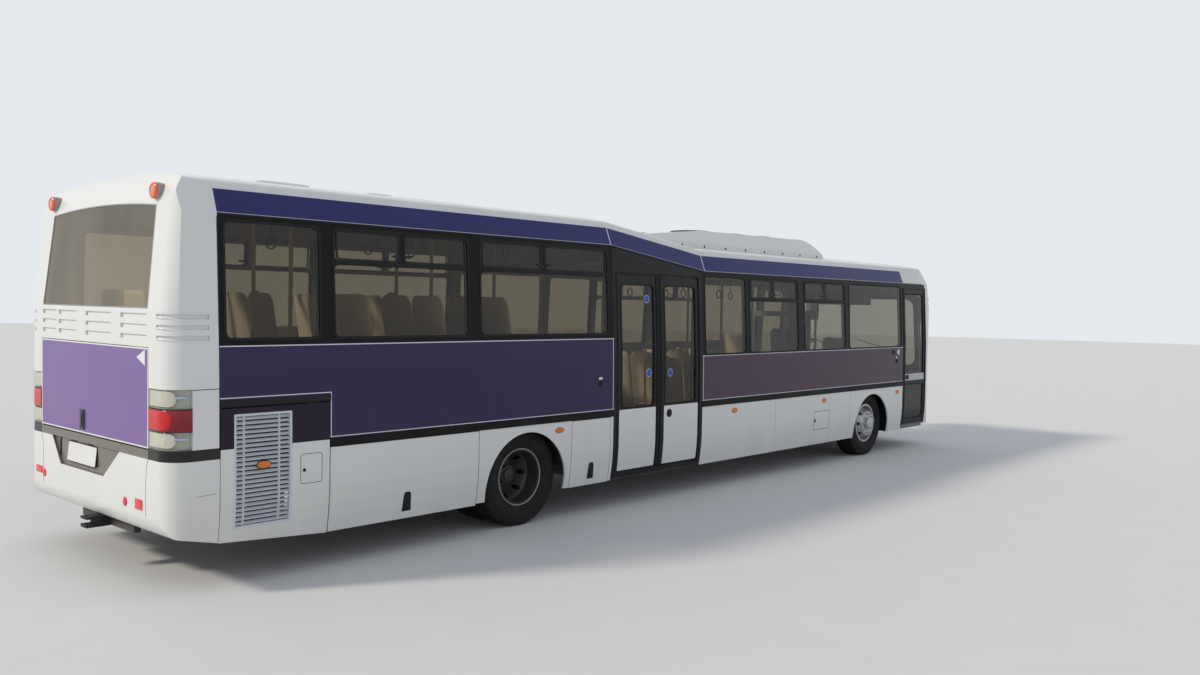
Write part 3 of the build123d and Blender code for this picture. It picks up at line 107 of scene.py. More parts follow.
class Link:
    """A socket that can stand in a sum."""

    def __init__(self, nodes, socket):
        self.nodes = nodes
        self.socket = socket

    def sum(self, operation, *terms, clamp=False):
        settings = {"operation": operation, "use_clamp": clamp}
        return self.nodes.node("Math", settings, dict(enumerate(terms)))

    def __add__(self, other):
        return self.sum("ADD", self, other)

    def __radd__(self, other):
        return self.sum("ADD", other, self)

    def __sub__(self, other):
        return self.sum("SUBTRACT", self, other)

    def __rsub__(self, other):
        return self.sum("SUBTRACT", other, self)

    def __mul__(self, other):
        return self.sum("MULTIPLY", self, other)

    def __rmul__(self, other):
        return self.sum("MULTIPLY", other, self)

    def size(self):
        return self.sum("ABSOLUTE", self)

    def above(self, level, soft=0.0008):
        """0 below the level and 1 above it, with a soft edge."""
        return self.sum("MULTIPLY_ADD", self - level, 1 / soft, 0.5, clamp=True)

    def below(self, level, soft=0.0008):
        return 1 - self.above(level, soft)

    def between(self, low, high):
        return self.above(low) * self.below(high)

    def near(self, level, half):
        return self.between(level - half, level + half)

    def capped(self):
        return self.sum("MINIMUM", self, 1.0)

    def wave(self, pitch):
        """A sine from 0 to 1 with the given pitch."""
        return 0.5 + 0.5 * self.sum("SINE", self * (2 * math.pi / pitch))


class Nodes:
    """A node tree and the way to add to it."""

    def __init__(self, tree):
        self.tree = tree
        self.tree.nodes.clear()

    def node(self, kind, settings=None, sockets=None, out=0):
        made = self.tree.nodes.new("ShaderNode" + kind)
        for name, value in (settings or {}).items():
            setattr(made, name, value)
        for name, value in (sockets or {}).items():
            self.feed(made.inputs[name], value)
        return Link(self, made.outputs[out] if made.outputs else None)

    def feed(self, socket, value):
        if isinstance(value, Link):
            self.tree.links.new(value.socket, socket)
        elif socket.type == "RGBA":
            socket.default_value = (*value[:3], 1)
        else:
            socket.default_value = value


class Finish(Nodes):
    """A named material and the nodes behind it."""

    def __init__(self, name):
        self.material = bpy.data.materials.new(name)
        self.material.use_nodes = True
        super().__init__(self.material.node_tree)
        self.point = self.node("TexCoord", out="Object")
        self.x, self.y, self.z = self.parts(self.point)

    def parts(self, vector):
        """The three numbers of a vector."""
        split = self.node("SeparateXYZ", sockets={0: vector}).socket.node
        return [Link(self, output) for output in split.outputs]

    def mix(self, factor, first, second):
        """A colour between two others."""
        return self.node("Mix", {"data_type": "RGBA"}, {0: factor, 6: first, 7: second}, out=2)

    def noise(self, scale, detail=3.0, stretch=(1, 1, 1)):
        place = self.point
        if stretch != (1, 1, 1):
            place = self.node("Mapping", sockets={"Vector": self.point, "Scale": stretch})
        return self.node("TexNoise", sockets={"Vector": place, "Scale": scale, "Detail": detail,
                                              "Roughness": 0.55})

    def speckle(self, scale, low, high, detail=3.0, stretch=(1, 1, 1)):
        """Noise drawn out so that low goes to 0 and high to 1."""
        noise = self.noise(scale, detail, stretch=stretch)
        return self.node("MapRange", sockets={0: noise, 1: low, 2: high})

    def outward(self):
        """How far a face looks out of the bus's side, and how far up."""
        _, across, up = self.parts(self.node("NewGeometry", out="Normal"))
        return across * self.y, up

    def bump(self, height, distance, strength):
        return self.node("Bump", sockets={"Height": height, "Distance": distance, "Strength": strength})

    def shader(self, colour, roughness, **more):
        """The Principled shader; names in more are its sockets with _ for a space."""
        sockets = {"Base Color": colour, "Roughness": roughness}
        sockets.update({name.replace("_", " "): value for name, value in more.items()})
        return self.node("BsdfPrincipled", sockets=sockets)

    def done(self, shader):
        self.node("OutputMaterial", sockets={"Surface": shader})
        return self.material


WHITE = (0.76, 0.77, 0.75)
# Painted shade: the side band's violet film, darker than the film's own colour.
SHADED_VIOLET = (0.032, 0.026, 0.092)
FLAP_VIOLET = (0.02, 0.014, 0.032)
# Painted sunlight: the same violet film on the engine lid, lighter than its own colour.
SUNLIT_LID_VIOLET = (0.2, 0.13, 0.37)
PLUM = (0.075, 0.05, 0.085)
NAVY = (0.018, 0.024, 0.15)
GLOSS_BLACK = (0.006, 0.006, 0.008)
STRIP_BLACK = (0.004, 0.004, 0.0045)
HANDLE_GREY = (0.09, 0.085, 0.08)
PANEL_GREY = (0.5, 0.5, 0.49)
LINE_WHITE = (0.7, 0.72, 0.78)
DUST = (0.36, 0.32, 0.26)


def dusted(finish, colour, amount, top=1.0):
    """Road film: more of it low down, in streaks and patches."""
    height = finish.node("MapRange", sockets={0: finish.z, 1: 0.25, 2: top, 3: 1.0, 4: 0.12})
    streaks = finish.speckle(9.0, 0.35, 0.75, 4.0, (1.0, 1.0, 0.12))
    patches = finish.speckle(2.2, 0.3, 0.8, 5.0)
    film = height * (0.35 + 0.4 * streaks + 0.45 * patches) * amount
    return finish.mix(film, colour, DUST), film


def coat(finish, colour, dirt=0.3, shine=0.3):
    """Sprayed paint under a clear coat, with a faint orange peel."""
    dirty, film = dusted(finish, colour, dirt)
    peel = finish.bump(finish.noise(240.0, 2.0), 0.0004, 0.12)
    gloss = 0.22 + 0.35 * film + 0.06 * finish.noise(3.0, 4.0)
    return finish.done(finish.shader(dirty, gloss, Normal=peel, Coat_Weight=shine - 0.8 * shine * film,
                                     Coat_Roughness=0.08, Specular_IOR_Level=shine))


def wall_film():
    """The side walls: coloured film in bands, its violet darkened as painted shade, black round the windows,
    grey lining inside.
    """
    finish = Finish("wall_film")
    x, z = finish.x - REAR, finish.z
    toward = finish.outward()[0]
    front = x.above(PORTAL[0] + 0.007)
    right = finish.y.below(0.0)
    shade = finish.noise(0.35, 2.0)
    # The violet here is painted shade.
    violet = finish.mix(shade, SHADED_VIOLET, (0.044, 0.03, 0.08))
    plum = finish.mix(shade, PLUM, (0.09, 0.06, 0.085))
    top = REAR_FILM_TOP_Z - (REAR_FILM_TOP_Z - FRONT_FILM_TOP_Z) * front
    film_band = z.between(RUB_STRIP_TOP_Z, top)
    colour = finish.mix(film_band, GLOSS_BLACK, finish.mix(front, violet, plum))
    lines = z.between(0.999, 1.006) + z.near(top, 0.004)
    lines += x.near(PORTAL[0] - 0.014, 0.004) * z.between(FILM_FOOT_Z, REAR_FILM_TOP_Z)
    front_ends = x.near(PORTAL[1] + 0.016, 0.004) * right + x.near(PORTAL[0] + 0.016, 0.004)
    lines += front_ends * z.between(FILM_FOOT_Z, FRONT_FILM_TOP_Z)
    flap_top, flap_end = 1.343, 1.252
    over_flap = x.below(flap_end) * z.between(flap_top - 0.007, flap_top)
    beside_flap = x.between(flap_end - 0.0075, flap_end) * z.between(FILM_FOOT_Z, flap_top)
    lines += (over_flap + beside_flap) * right
    colour = finish.mix(lines.capped(), colour, LINE_WHITE)
    colour = finish.mix(z.below(RUB_STRIP_TOP_Z + 0.001), colour, STRIP_BLACK)
    inside = 1 - toward.above(-0.3, 0.2)
    lining = finish.mix(finish.speckle(400.0, 0.4, 0.6), PANEL_GREY, (0.42, 0.42, 0.42))
    dirty, film = dusted(finish, finish.mix(inside, colour, lining), 0.04, 1.6)
    peel = finish.bump(finish.noise(200.0, 2.0), 0.0004, 0.1)
    gloss = 0.2 + 0.4 * inside + 0.25 * z.below(RUB_STRIP_TOP_Z) + 0.5 * film
    return finish.done(finish.shader(dirty, gloss, Normal=peel, Coat_Weight=0.1 * film_band,
                                     Coat_Roughness=0.06, Specular_IOR_Level=0.13))


def roof_film():
    """The roof: white above, a navy band along its sides and a grey lining inside."""
    finish = Finish("roof_film")
    x, z = finish.x - REAR, finish.z
    toward, up = finish.outward()
    foot = finish.node("MapRange", sockets={0: x, 1: STEP_REAR, 2: STEP_FRONT,
                                            3: REAR_BAND_Z, 4: FRONT_BAND_Z})
    rise = z - foot
    band = rise.between(-0.1, BAND_RISE) * toward.above(0.6, 0.1) * x.below(BAND_FRONT_X)
    navy = finish.mix(finish.noise(0.5, 2.0), NAVY, (0.03, 0.03, 0.12))
    film = finish.mix(rise.between(BAND_RISE - 0.01, BAND_RISE) + rise.below(0.01), navy, LINE_WHITE)
    for joint in (STEP_REAR, STEP_FRONT):
        film = finish.mix(x.near(joint, 0.006), film, LINE_WHITE)
    white = finish.mix(finish.speckle(1.6, 0.35, 0.8, 5.0) * 0.25, WHITE, (0.5, 0.49, 0.45))
    inside = toward.below(-0.02, 0.02) * up.below(0.2, 0.2) + up.below(-0.3, 0.1)
    colour = finish.mix(inside.capped(), finish.mix(band, white, film), (0.62, 0.62, 0.6))
    peel = finish.bump(finish.noise(200.0, 2.0), 0.0004, 0.12)
    gloss = 0.22 + 0.12 * finish.noise(3.0, 4.0) + 0.2 * (1 - band)
    return finish.done(finish.shader(colour, gloss, Normal=peel, Coat_Weight=0.1 * band,
                                     Coat_Roughness=0.06, Specular_IOR_Level=0.15))


def end_paint():
    """Rear and front walls: white, with the black strip under the rear lamps."""
    finish = Finish("end_paint")
    low = (finish.x - REAR).below(1.0) * finish.z.below(RUB_STRIP_TOP_Z + 0.005)
    strip = low * finish.y.size().above(LAMP_Y + 0.001)
    return coat(finish, finish.mix(strip, WHITE, STRIP_BLACK), dirt=0.3 - 0.28 * strip)


def rear_bumper_paint():
    """White, with a black strip round the corners and grey moulding between them and in the recess."""
    finish = Finish("rear_bumper_paint")
    x, y, z = finish.x - REAR, finish.y, finish.z
    strip = z.above(0.922)
    middle = y.size().below(LAMP_Y + 0.001, 0.003)
    recess = x.between(0.004, 0.1) * y.between(-0.52, 0.76) * z.above(0.705)
    grey = finish.mix(finish.speckle(500.0, 0.4, 0.6), (0.19, 0.175, 0.15), (0.14, 0.13, 0.112))
    colour = finish.mix(strip, WHITE, finish.mix(middle, STRIP_BLACK, grey))
    colour = finish.mix(recess, colour, grey)
    return coat(finish, colour, dirt=0.25 - 0.22 * strip)


def lid_film():
    """The engine lid: violet lightened as painted sunlight, with a white edge and a white triangle, its
    handle's base grey.
    """
    finish = Finish("lid_film")
    x, y, z = finish.x - REAR, finish.y, finish.z
    edge = y.size().above(0.948) + z.above(1.674) + z.below(1.006)
    triangle = ((-0.775 - y) * 0.43 - (z - 1.616).size()).above(0.0) * y.above(-0.905)
    # The lid's violet is painted sunlight.
    violet = finish.mix(finish.noise(0.6, 2.0), SUNLIT_LID_VIOLET, (0.22, 0.14, 0.35))
    colour = finish.mix((edge + triangle).capped(), violet, WHITE)
    return coat(finish, finish.mix(x.below(-0.0015), colour, HANDLE_GREY), dirt=0.08, shine=0.15)


def flap_film():
    """The engine flap: dark violet above, white below."""
    finish = Finish("flap_film")
    upper = finish.z.above(FLAP_FILM_FOOT_Z)
    colour = finish.mix(upper, WHITE, FLAP_VIOLET)
    return coat(finish, colour, dirt=0.3 - 0.27 * upper, shine=0.12)


def plastic(name, colour, roughness):
    """Moulded plastic with a fine leathery grain."""
    finish = Finish(name)
    pale = tuple(min(1.0, c * 1.35 + 0.004) for c in colour)
    toned = finish.mix(finish.speckle(6.0, 0.3, 0.8, 5.0) * 0.25, colour, pale)
    skin = finish.bump(finish.noise(900.0, 2.0), 0.0003, 0.35)
    gloss = roughness + 0.15 * finish.noise(5.0, 4.0)
    return finish.done(finish.shader(toned, gloss, Normal=skin, Specular_IOR_Level=0.25))


def painted_steel(name, colour, roughness, dirt, metal=0.0):
    """Chassis and wheel paint with dust in its hollows and rusty specks."""
    finish = Finish(name)
    rust = finish.speckle(38.0, 0.62, 0.72, 6.0)
    toned = finish.mix(rust * 0.5, colour, (0.16, 0.07, 0.03))
    dust = finish.speckle(3.0, 0.3, 0.75, 5.0) * dirt
    toned = finish.mix(dust, toned, DUST)
    pits = finish.bump(finish.noise(160.0, 4.0), 0.0006, 0.3)
    return finish.done(finish.shader(toned, roughness + 0.35 * dust, Metallic=metal * (1 - dust),
                                     Normal=pits))


def bare_metal(name, colour, roughness):
    """Brushed or turned metal with fine scratches."""
    finish = Finish(name)
    scratches = finish.noise(60.0, 5.0, stretch=(1, 1, 18))
    toned = finish.mix(scratches * 0.5, colour, tuple(c * 0.6 for c in colour))
    return finish.done(finish.shader(toned, roughness + 0.2 * scratches, Metallic=1.0,
                                     Normal=finish.bump(scratches, 0.0003, 0.2)))


def tyre_rubber():
    finish = Finish("tyre_rubber")
    dust = finish.speckle(14.0, 0.35, 0.75, 5.0)
    toned = finish.mix(dust * 0.3, (0.008, 0.008, 0.009), (0.06, 0.055, 0.045))
    pits = finish.bump(finish.noise(300.0, 3.0), 0.0006, 0.3)
    return finish.done(finish.shader(toned, 0.72 + 0.15 * dust, Normal=pits, Specular_IOR_Level=0.25))


def lens(name, colour, rib_pitch=None):
    """A lamp's cover: clear coat over tinted plastic, with ribs across where a pitch is given."""
    finish = Finish(name)
    sockets = {"Coat_Weight": 0.4, "Coat_Roughness": 0.03, "Specular_IOR_Level": 0.3}
    shade = finish.mix(finish.speckle(30.0, 0.35, 0.7, 4.0) * 0.4, colour, tuple(c * 0.55 for c in colour))
    if rib_pitch:
        wave = finish.z.wave(rib_pitch)
        sockets["Normal"] = finish.bump(wave, 0.002, 0.5)
        shade = finish.mix(wave * 0.35, shade, tuple(c * 0.35 for c in colour))
    return finish.done(finish.shader(shade, 0.12 + 0.1 * finish.noise(20.0), **sockets))


def pane_glass(name, tint, veil=0.0):
    """Tinted glass under a film of dust, with a mirror on its outer faces; shadow rays pass paler."""
    finish = Finish(name)
    smear = finish.speckle(1.3, 0.3, 0.85, 5.0, (1, 1, 0.5))
    outer_face = 1 - finish.node("NewGeometry", out="Backfacing")
    fresnel = outer_face * finish.node("Fresnel", sockets={"IOR": 1.45})
    through = finish.node("BsdfTransparent", sockets={"Color": tint})
    mirror = finish.node("BsdfGlossy", sockets={"Color": (0.9, 0.9, 0.9),
                                                "Roughness": 0.02 + 0.05 * smear})
    pane = finish.node("MixShader", sockets={0: fresnel, 1: through, 2: mirror})
    dust = finish.node("BsdfDiffuse", sockets={"Color": (0.5, 0.44, 0.33)})
    film = (0.004 + veil) * outer_face * (0.6 + 0.8 * smear)
    pane = finish.node("MixShader", sockets={0: film, 1: pane, 2: dust})
    lit = finish.node("BsdfTransparent", sockets={"Color": tuple(0.85 + 0.15 * c for c in tint)})
    shadow = finish.node("LightPath", out="Is Shadow Ray")
    return finish.done(finish.node("MixShader", sockets={0: shadow, 1: pane, 2: lit}))


def seat_cloth():
    """Woven seat covering in small two-tone checks."""
    finish = Finish("seat_cloth")
    weave = finish.y.wave(0.006) * (finish.z + finish.x).wave(0.006)
    blocks = finish.node("TexVoronoi", {"distance": "CHEBYCHEV"}, {"Vector": finish.point, "Scale": 45.0},
                         out="Color")
    shade = finish.node("SeparateColor", sockets={0: blocks})
    colour = finish.mix(shade.above(0.62, 0.05), (0.22, 0.02, 0.03), (0.06, 0.05, 0.09))
    colour = finish.mix(weave * 0.35, colour, (0.3, 0.12, 0.1))
    return finish.done(finish.shader(colour, 0.85 + 0.1 * weave, Normal=finish.bump(weave, 0.0008, 0.5),
                                     Sheen_Weight=0.3, Sheen_Roughness=0.5))


def floor_covering():
    """Speckled studded covering."""
    finish = Finish("floor_covering")
    flecks = finish.speckle(260.0, 0.58, 0.64, 2.0)
    colour = finish.mix(flecks, (0.13, 0.14, 0.16), (0.4, 0.4, 0.38))
    worn = finish.speckle(1.5, 0.4, 0.8, 5.0)
    colour = finish.mix(worn * 0.4, colour, (0.22, 0.21, 0.19))
    return finish.done(finish.shader(colour, 0.6 + 0.2 * worn,
                                     Normal=finish.bump(finish.noise(500.0, 2.0), 0.0004, 0.3)))


def stage_floor():
    """Pale floor with a faint mottle."""
    finish = Finish("stage_floor")
    grain = finish.noise(2.0, 5.0)
    colour = finish.mix(grain, (0.66, 0.66, 0.65), (0.7, 0.7, 0.69))
    return finish.done(finish.shader(colour, 0.85))


MATERIALS = {
    "white": coat(Finish("white_paint"), WHITE),
    "wall": wall_film(),
    "roof": roof_film(),
    "end": end_paint(),
    "rear_bumper": rear_bumper_paint(),
    "lid": lid_film(),
    "flap": flap_film(),
    "black": plastic("satin_black", (0.008, 0.008, 0.009), 0.35),
    "trim": plastic("black_trim", (0.012, 0.012, 0.014), 0.5),
    "seal": plastic("rubber_seal", (0.01, 0.01, 0.011), 0.6),
    "grey": plastic("grey_moulding", (0.3, 0.31, 0.32), 0.5),
    "dark_grey": plastic("dark_moulding", (0.07, 0.07, 0.075), 0.5),
    "cream": plastic("cream_shell", (0.9, 0.82, 0.64), 0.42),
    "yellow": plastic("yellow_powder", (0.88, 0.6, 0.03), 0.3),
    "post": plastic("cream_powder", (0.82, 0.72, 0.4), 0.3),
    "chassis": painted_steel("chassis_paint", (0.022, 0.021, 0.021), 0.5, 0.2),
    "couplings": painted_steel("couplings_paint", (0.006, 0.006, 0.006), 0.7, 0.05),
    "silver": painted_steel("wheel_silver", (0.5, 0.51, 0.52), 0.35, 0.3, 0.6),
    # Painted shade: the rear rims are the same silver steel as the front ones, darkened almost to black.
    "dark_rim": painted_steel("rim_painted_shade", (0.022, 0.022, 0.024), 0.45, 0.15, 0.2),
    "iron": painted_steel("engine_iron", (0.12, 0.12, 0.12), 0.6, 0.6),
    "alloy": bare_metal("bare_alloy", (0.6, 0.61, 0.62), 0.3),
    # Painted shade: the grille's white blades are given the cool, darker cast that white takes in the side's
    # shade.
    "louvre": plastic("louvre_shaded_white", (0.6, 0.63, 0.68), 0.4),
    "light_grey": plastic("light_moulding", (0.5, 0.51, 0.52), 0.4),
    "tank": plastic("tank_plastic", (0.04, 0.04, 0.04), 0.55),
    "tyre": tyre_rubber(),
    "cloth": seat_cloth(),
    "floor": floor_covering(),
    "glass": pane_glass("bronze_glass", (0.6, 0.57, 0.51)),
    "rear_glass": pane_glass("dusty_bronze_glass", (0.68, 0.64, 0.54), 0.24),
    "screen": pane_glass("screen_glass", (0.78, 0.82, 0.79)),
    "red_lens": lens("red_lens", (0.75, 0.012, 0.02), 0.016),
    "red_plain": lens("red_reflector", (0.8, 0.012, 0.02)),
    "red_block": lens("red_block", (0.3, 0.004, 0.01), 0.016),
    "beacon_lens": lens("beacon_lens", (0.85, 0.13, 0.05)),
    # Painted highlight: the paler middle stands for the white reflection in the beacon's lens.
    "beacon_middle": lens("beacon_middle", (0.75, 0.32, 0.2)),
    # Painted highlight: the bars' pale blue stands for the sky's reflection along them.
    "light_bar": lens("light_bar", (0.5, 0.62, 0.95)),
    "clear_lens": lens("clear_lens", (0.8, 0.79, 0.68), 0.008),
    "lamp_tray": plastic("lamp_tray", (0.5, 0.52, 0.44), 0.2),
    "amber_lens": lens("amber_lens", (0.8, 0.2, 0.01)),
    "reflector": bare_metal("lamp_reflector", (0.85, 0.85, 0.84), 0.12),
    "lamp_glass": pane_glass("lamp_cover_glass", (0.96, 0.96, 0.95)),
    "hatch_dome": plastic("hatch_dome", (0.66, 0.66, 0.62), 0.28),
    "lamp_cover": plastic("lamp_diffuser", (0.75, 0.75, 0.72), 0.35),
    "amber_dots": plastic("amber_dots", (0.75, 0.32, 0.02), 0.4),
    "disc_blue": plastic("disc_blue", (0.02, 0.09, 0.42), 0.3),
    "stage": stage_floor(),
}

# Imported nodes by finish
DRESSED = {
    "wall": ["wall_right_rear", "wall_right_front", "wall_left"],
    "roof": ["roof_rear", "roof_step", "roof_front"],
    "end": ["rear_wall", "front_wall"],
    "rear_bumper": ["rear_bumper"],
    "white": ["front_bumper", "skirts", "battery_flap", "service_flap", "roof_unit", "roof_hatches"],
    "lid": ["engine_lid"],
    "flap": ["engine_flap"],
    "louvre": ["louvre_grille"],
    "black": ["door_portal", "middle_door_rear", "middle_door_front", "front_door"],
    "glass": ["side_glass", "middle_door_rear_glass", "middle_door_front_glass", "front_door_glass"],
    "rear_glass": ["rear_window"],
    "screen": ["windscreen"],
    "trim": ["wheelhouses", "steering_wheel", "mirrors"],
    "chassis": ["chassis_frame", "radiator", "rear_axle", "front_axle", "tie_rod", "knuckle_left",
                "knuckle_right"],
    "couplings": ["tow_couplings"],
    "iron": ["engine_block"],
    "tank": ["fuel_tank"],
    "floor": ["floor_low", "floor_raised"],
    "dark_grey": ["dashboard", "seat_stands", "driver_seat"],
    "grey": ["driver_partition"],
    "cream": ["passenger_seats"],
    "post": ["handrails"],
    "amber_lens": ["marker_lamps"],
    "red_lens": ["rear_lamps"],
    "clear_lens": ["headlamps"],
    "tyre": ["front_tyre_left", "front_tyre_right", "rear_tyres_left", "rear_tyres_right"],
    "silver": ["front_rim_left", "front_rim_right"],
    "dark_rim": ["rear_rims_left", "rear_rims_right"],
}
for finish_name, nodes in DRESSED.items():
    for node in nodes:
        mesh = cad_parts[node].data
        mesh.materials.clear()
        mesh.materials.append(MATERIALS[finish_name])


# Meshes

# Slots of the pieces by finish, for pieces that name no other
SLOTS = {
    "seal": "rubber_black", "trim": "black_frame", "black": "black_frame", "white": "body_white",
    "hatch_dome": "body_white", "grey": "grey_trim", "dark_grey": "grey_trim", "light_grey": "grey_trim",
    "lamp_cover": "grey_trim", "lamp_tray": "lamp_clear", "lamp_glass": "lamp_clear",
    "clear_lens": "lamp_clear", "light_bar": "lamp_clear", "reflector": "lamp_clear",
    "red_block": "lamp_red", "red_lens": "lamp_red", "red_plain": "lamp_red", "amber_lens": "lamp_amber",
    "beacon_lens": "lamp_amber", "beacon_middle": "lamp_amber", "amber_dots": "lamp_amber",
    "alloy": "grille_alloy", "tyre": "tyre_rubber", "silver": "rim_steel", "dark_rim": "rim_steel",
    "cream": "seat_shell", "cloth": "seat_cover", "yellow": "yellow_rail",
}


class Form:
    """Points and faces of one piece, gathered shape by shape."""

    def __init__(self):
        self.points, self.faces, self.tones = [], [], []
        self.tone = 0

    def add(self, points, faces):
        start = len(self.points)
        self.points += [Vector(p) for p in points]
        self.faces += [[start + i for i in face] for face in faces]
        self.tones += [self.tone] * len(faces)
        return self

    def skin(self, rings, round_ring=True, round_run=False, caps=True):
        """Faces between rings with equally many points."""
        count, last = len(rings[0]), len(rings) - 1
        faces = []
        for i in range(len(rings) if round_run else last):
            a, b = i * count, (i + 1) % len(rings) * count
            for j in range(count if round_ring else count - 1):
                k = (j + 1) % count
                faces.append([a + j, a + k, b + k, b + j])
        if caps and not round_run:
            faces.append(list(range(count))[::-1])
            faces.append([last * count + j for j in range(count)])
        return self.add([p for ring in rings for p in ring], faces)

    def swept(self, place, profile, stops):
        """A profile of (b, depth) carried along a; place turns (a, b, depth) into a point."""
        return self.skin([[place(a, b, depth) for b, depth in profile] for a in stops])

    def strip(self, place, stops, low, high, near, far):
        """A flat bar with square edges."""
        return self.swept(place, [(low, near), (high, near), (high, far), (low, far)], stops)

    def plate(self, place, outline, near, far):
        """An outline of (a, b) given a thickness."""
        return self.skin([[place(a, b, depth) for a, b in outline] for depth in (near, far)])

    def frame(self, place, outer, inner, near, far):
        """A flat ring between two outlines with equally many points."""
        rings = [(outer, near), (outer, far), (inner, far), (inner, near)]
        return self.skin([[place(a, b, depth) for a, b in line] for line, depth in rings], round_run=True)

    def rim(self, place, box, outer, inner, near, far, cuts=0):
        """A flat ring along a box's edge; outer and inner are (distance outwards, corner radius)."""
        outlines = [grown(box, by, radius, cuts) for by, radius in (outer, inner)]
        return self.frame(place, *outlines, near, far)

    def tube(self, path, radius, sides=12, closed=False, flat=1.0):
        """A round bar along a path; flat squeezes its second direction."""
        path = [Vector(p) for p in path]
        rings, side = [], None
        for i, point in enumerate(path):
            before = path[i - 1] if i or closed else point
            after = path[(i + 1) % len(path)] if i < len(path) - 1 or closed else point
            ahead = (after - before).normalized()
            if side is None:
                side = ahead.orthogonal().normalized()
            side = (side - ahead * side.dot(ahead)).normalized()
            other = ahead.cross(side) * flat
            rings.append([point + (side * math.cos(turn) + other * math.sin(turn)) * radius
                          for turn in turns(sides)])
        return self.skin(rings, round_run=closed)

    def turned(self, profile, centre, axis=(0, 1, 0), sides=48, whole=False):
        """A profile of (radius, along) turned about an axis; whole profiles close on themselves."""
        axis = Vector(axis).normalized()
        side = axis.orthogonal().normalized()
        other = axis.cross(side)
        rings = []
        for angle in turns(sides):
            out = side * math.cos(angle) + other * math.sin(angle)
            rings.append([Vector(centre) + axis * along + out * max(radius, 1e-5)
                          for radius, along in profile])
        return self.skin(rings, round_ring=whole, round_run=True)

    def merged(self, other, spot):
        """Another form's shapes, moved by a distance."""
        start = len(self.points)
        self.points += [p + spot for p in other.points]
        self.faces += [[start + i for i in face] for face in other.faces]
        self.tones += other.tones
        return self

    def fill(self, mesh, edge, crease):
        """The shapes as a mesh with its normals put right and its sharp edges rounded."""
        mesh.from_pydata(self.points, [], self.faces)
        mesh.polygons.foreach_set("material_index", self.tones)
        built = bmesh.new()
        built.from_mesh(mesh)
        bmesh.ops.remove_doubles(built, verts=built.verts, dist=1e-5)
        bmesh.ops.recalc_face_normals(built, faces=built.faces)
        if edge:
            sharp = [e for e in built.edges if e.is_manifold and e.calc_face_angle(0) > math.radians(crease)]
            bmesh.ops.bevel(built, geom=sharp, offset=edge, segments=2, profile=0.6, affect="EDGES",
                            clamp_overlap=True)
        built.to_mesh(mesh)
        built.free()
        mesh.shade_smooth()
        mesh.set_sharp_from_angle(angle=math.radians(crease))

    def make(self, name, finish, body="root", slot=None, edge=0.0, replaces=(), crease=35):
        """The finished piece, in one finish or, by tone, in several."""
        mesh = bpy.data.meshes.new(name)
        for each in finish if isinstance(finish, tuple) else (finish,):
            mesh.materials.append(MATERIALS[each])
        self.fill(mesh, edge, crease)
        slot = slot or SLOTS[finish]
        piece = bpy.data.objects.new(name, mesh)
        bpy.context.scene.collection.objects.link(piece)
        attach(piece, body)
        if replaces:
            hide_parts(*replaces)
        return piece


def rounded(a0, a1, b0, b1, radius, steps=5, cuts=0):
    """A rectangle with round corners, as points; cuts divide its upright sides."""
    points = []
    for a, b, start in ((a1 - radius, b1 - radius, 0), (a0 + radius, b1 - radius, 90),
                        (a0 + radius, b0 + radius, 180), (a1 - radius, b0 + radius, 270)):
        for step in range(steps + 1):
            angle = math.radians(start + 90 * step / steps)
            points.append((a + radius * math.cos(angle), b + radius * math.sin(angle)))
        low, high = b0 + radius, b1 - radius
        for cut in range(1, cuts + 1):
            share = cut / (cuts + 1)
            if start == 90:
                points.append((a0, high + (low - high) * share))
            if start == 270:
                points.append((a1, low + (high - low) * share))
    return points


def grown(box, by, radius, cuts=0):
    """A round-cornered outline outside a box by a distance."""
    a0, a1, b0, b1 = box
    return rounded(a0 - by, a1 + by, b0 - by, b1 + by, radius, cuts=cuts)


def oval(a, b, half_a, half_b):
    """An upright oval, as points."""
    return [(a + half_a * math.cos(t), b + half_b * math.sin(t)) for t in turns(28)]


def rear_x(z):
    """The rear wall, upright below and leaning forward beside its window."""
    lean, foot_z, height = 0.081, 1.94, 0.772
    return max(0.0, lean * (z - foot_z) / height)


def rear_place(y, z, depth):
    """Outlines drawn as (y, z) on the rear wall."""
    return at(rear_x(z) - depth, y, z)


def seam(form, place, points, width):
    """A thin joint line along points drawn on a surface, in short lengths that follow it."""
    sunk, proud = -0.002, 0.0006
    for (a0, b0), (a1, b1) in zip(points, points[1:]):
        length = math.hypot(a1 - a0, b1 - b0)
        across, up = -(b1 - b0) / length * width / 2, (a1 - a0) / length * width / 2
        count = max(1, round(length / 0.06))
        rings = []
        for k in range(count + 1):
            a, b = a0 + (a1 - a0) * k / count, b0 + (b1 - b0) * k / count
            rings.append([place(a + across, b + up, sunk), place(a + across, b + up, proud),
                          place(a - across, b - up, proud), place(a - across, b - up, sunk)])
        form.skin(rings)


def stack(form, levels, near, far):
    """A plate on the right side built up level by level to follow its curve: z, x from, x to."""
    place = side_place(RIGHT)
    form.skin([[place(x0, z, near), place(x1, z, near), place(x1, z, far), place(x0, z, far)]
               for z, x0, x1 in levels])


def panel(form, x0, x1, z0, z1, near, far, radius=0.012):
    """A plate with round corners on the right side."""
    rises = [radius * share for share in (0.0, 0.08, 0.3, 0.6)]
    heights = [z0 + rise for rise in rises] + side_heights(z0 + radius, z1 - radius)
    levels = []
    for z in heights + [z1 - rise for rise in reversed(rises)]:
        dip = radius - min(z - z0, z1 - z, radius)
        inset = radius - math.sqrt(radius * radius - dip * dip)
        levels.append((z, x0 + inset, x1 - inset))
    stack(form, levels, near, far)


# Body sides

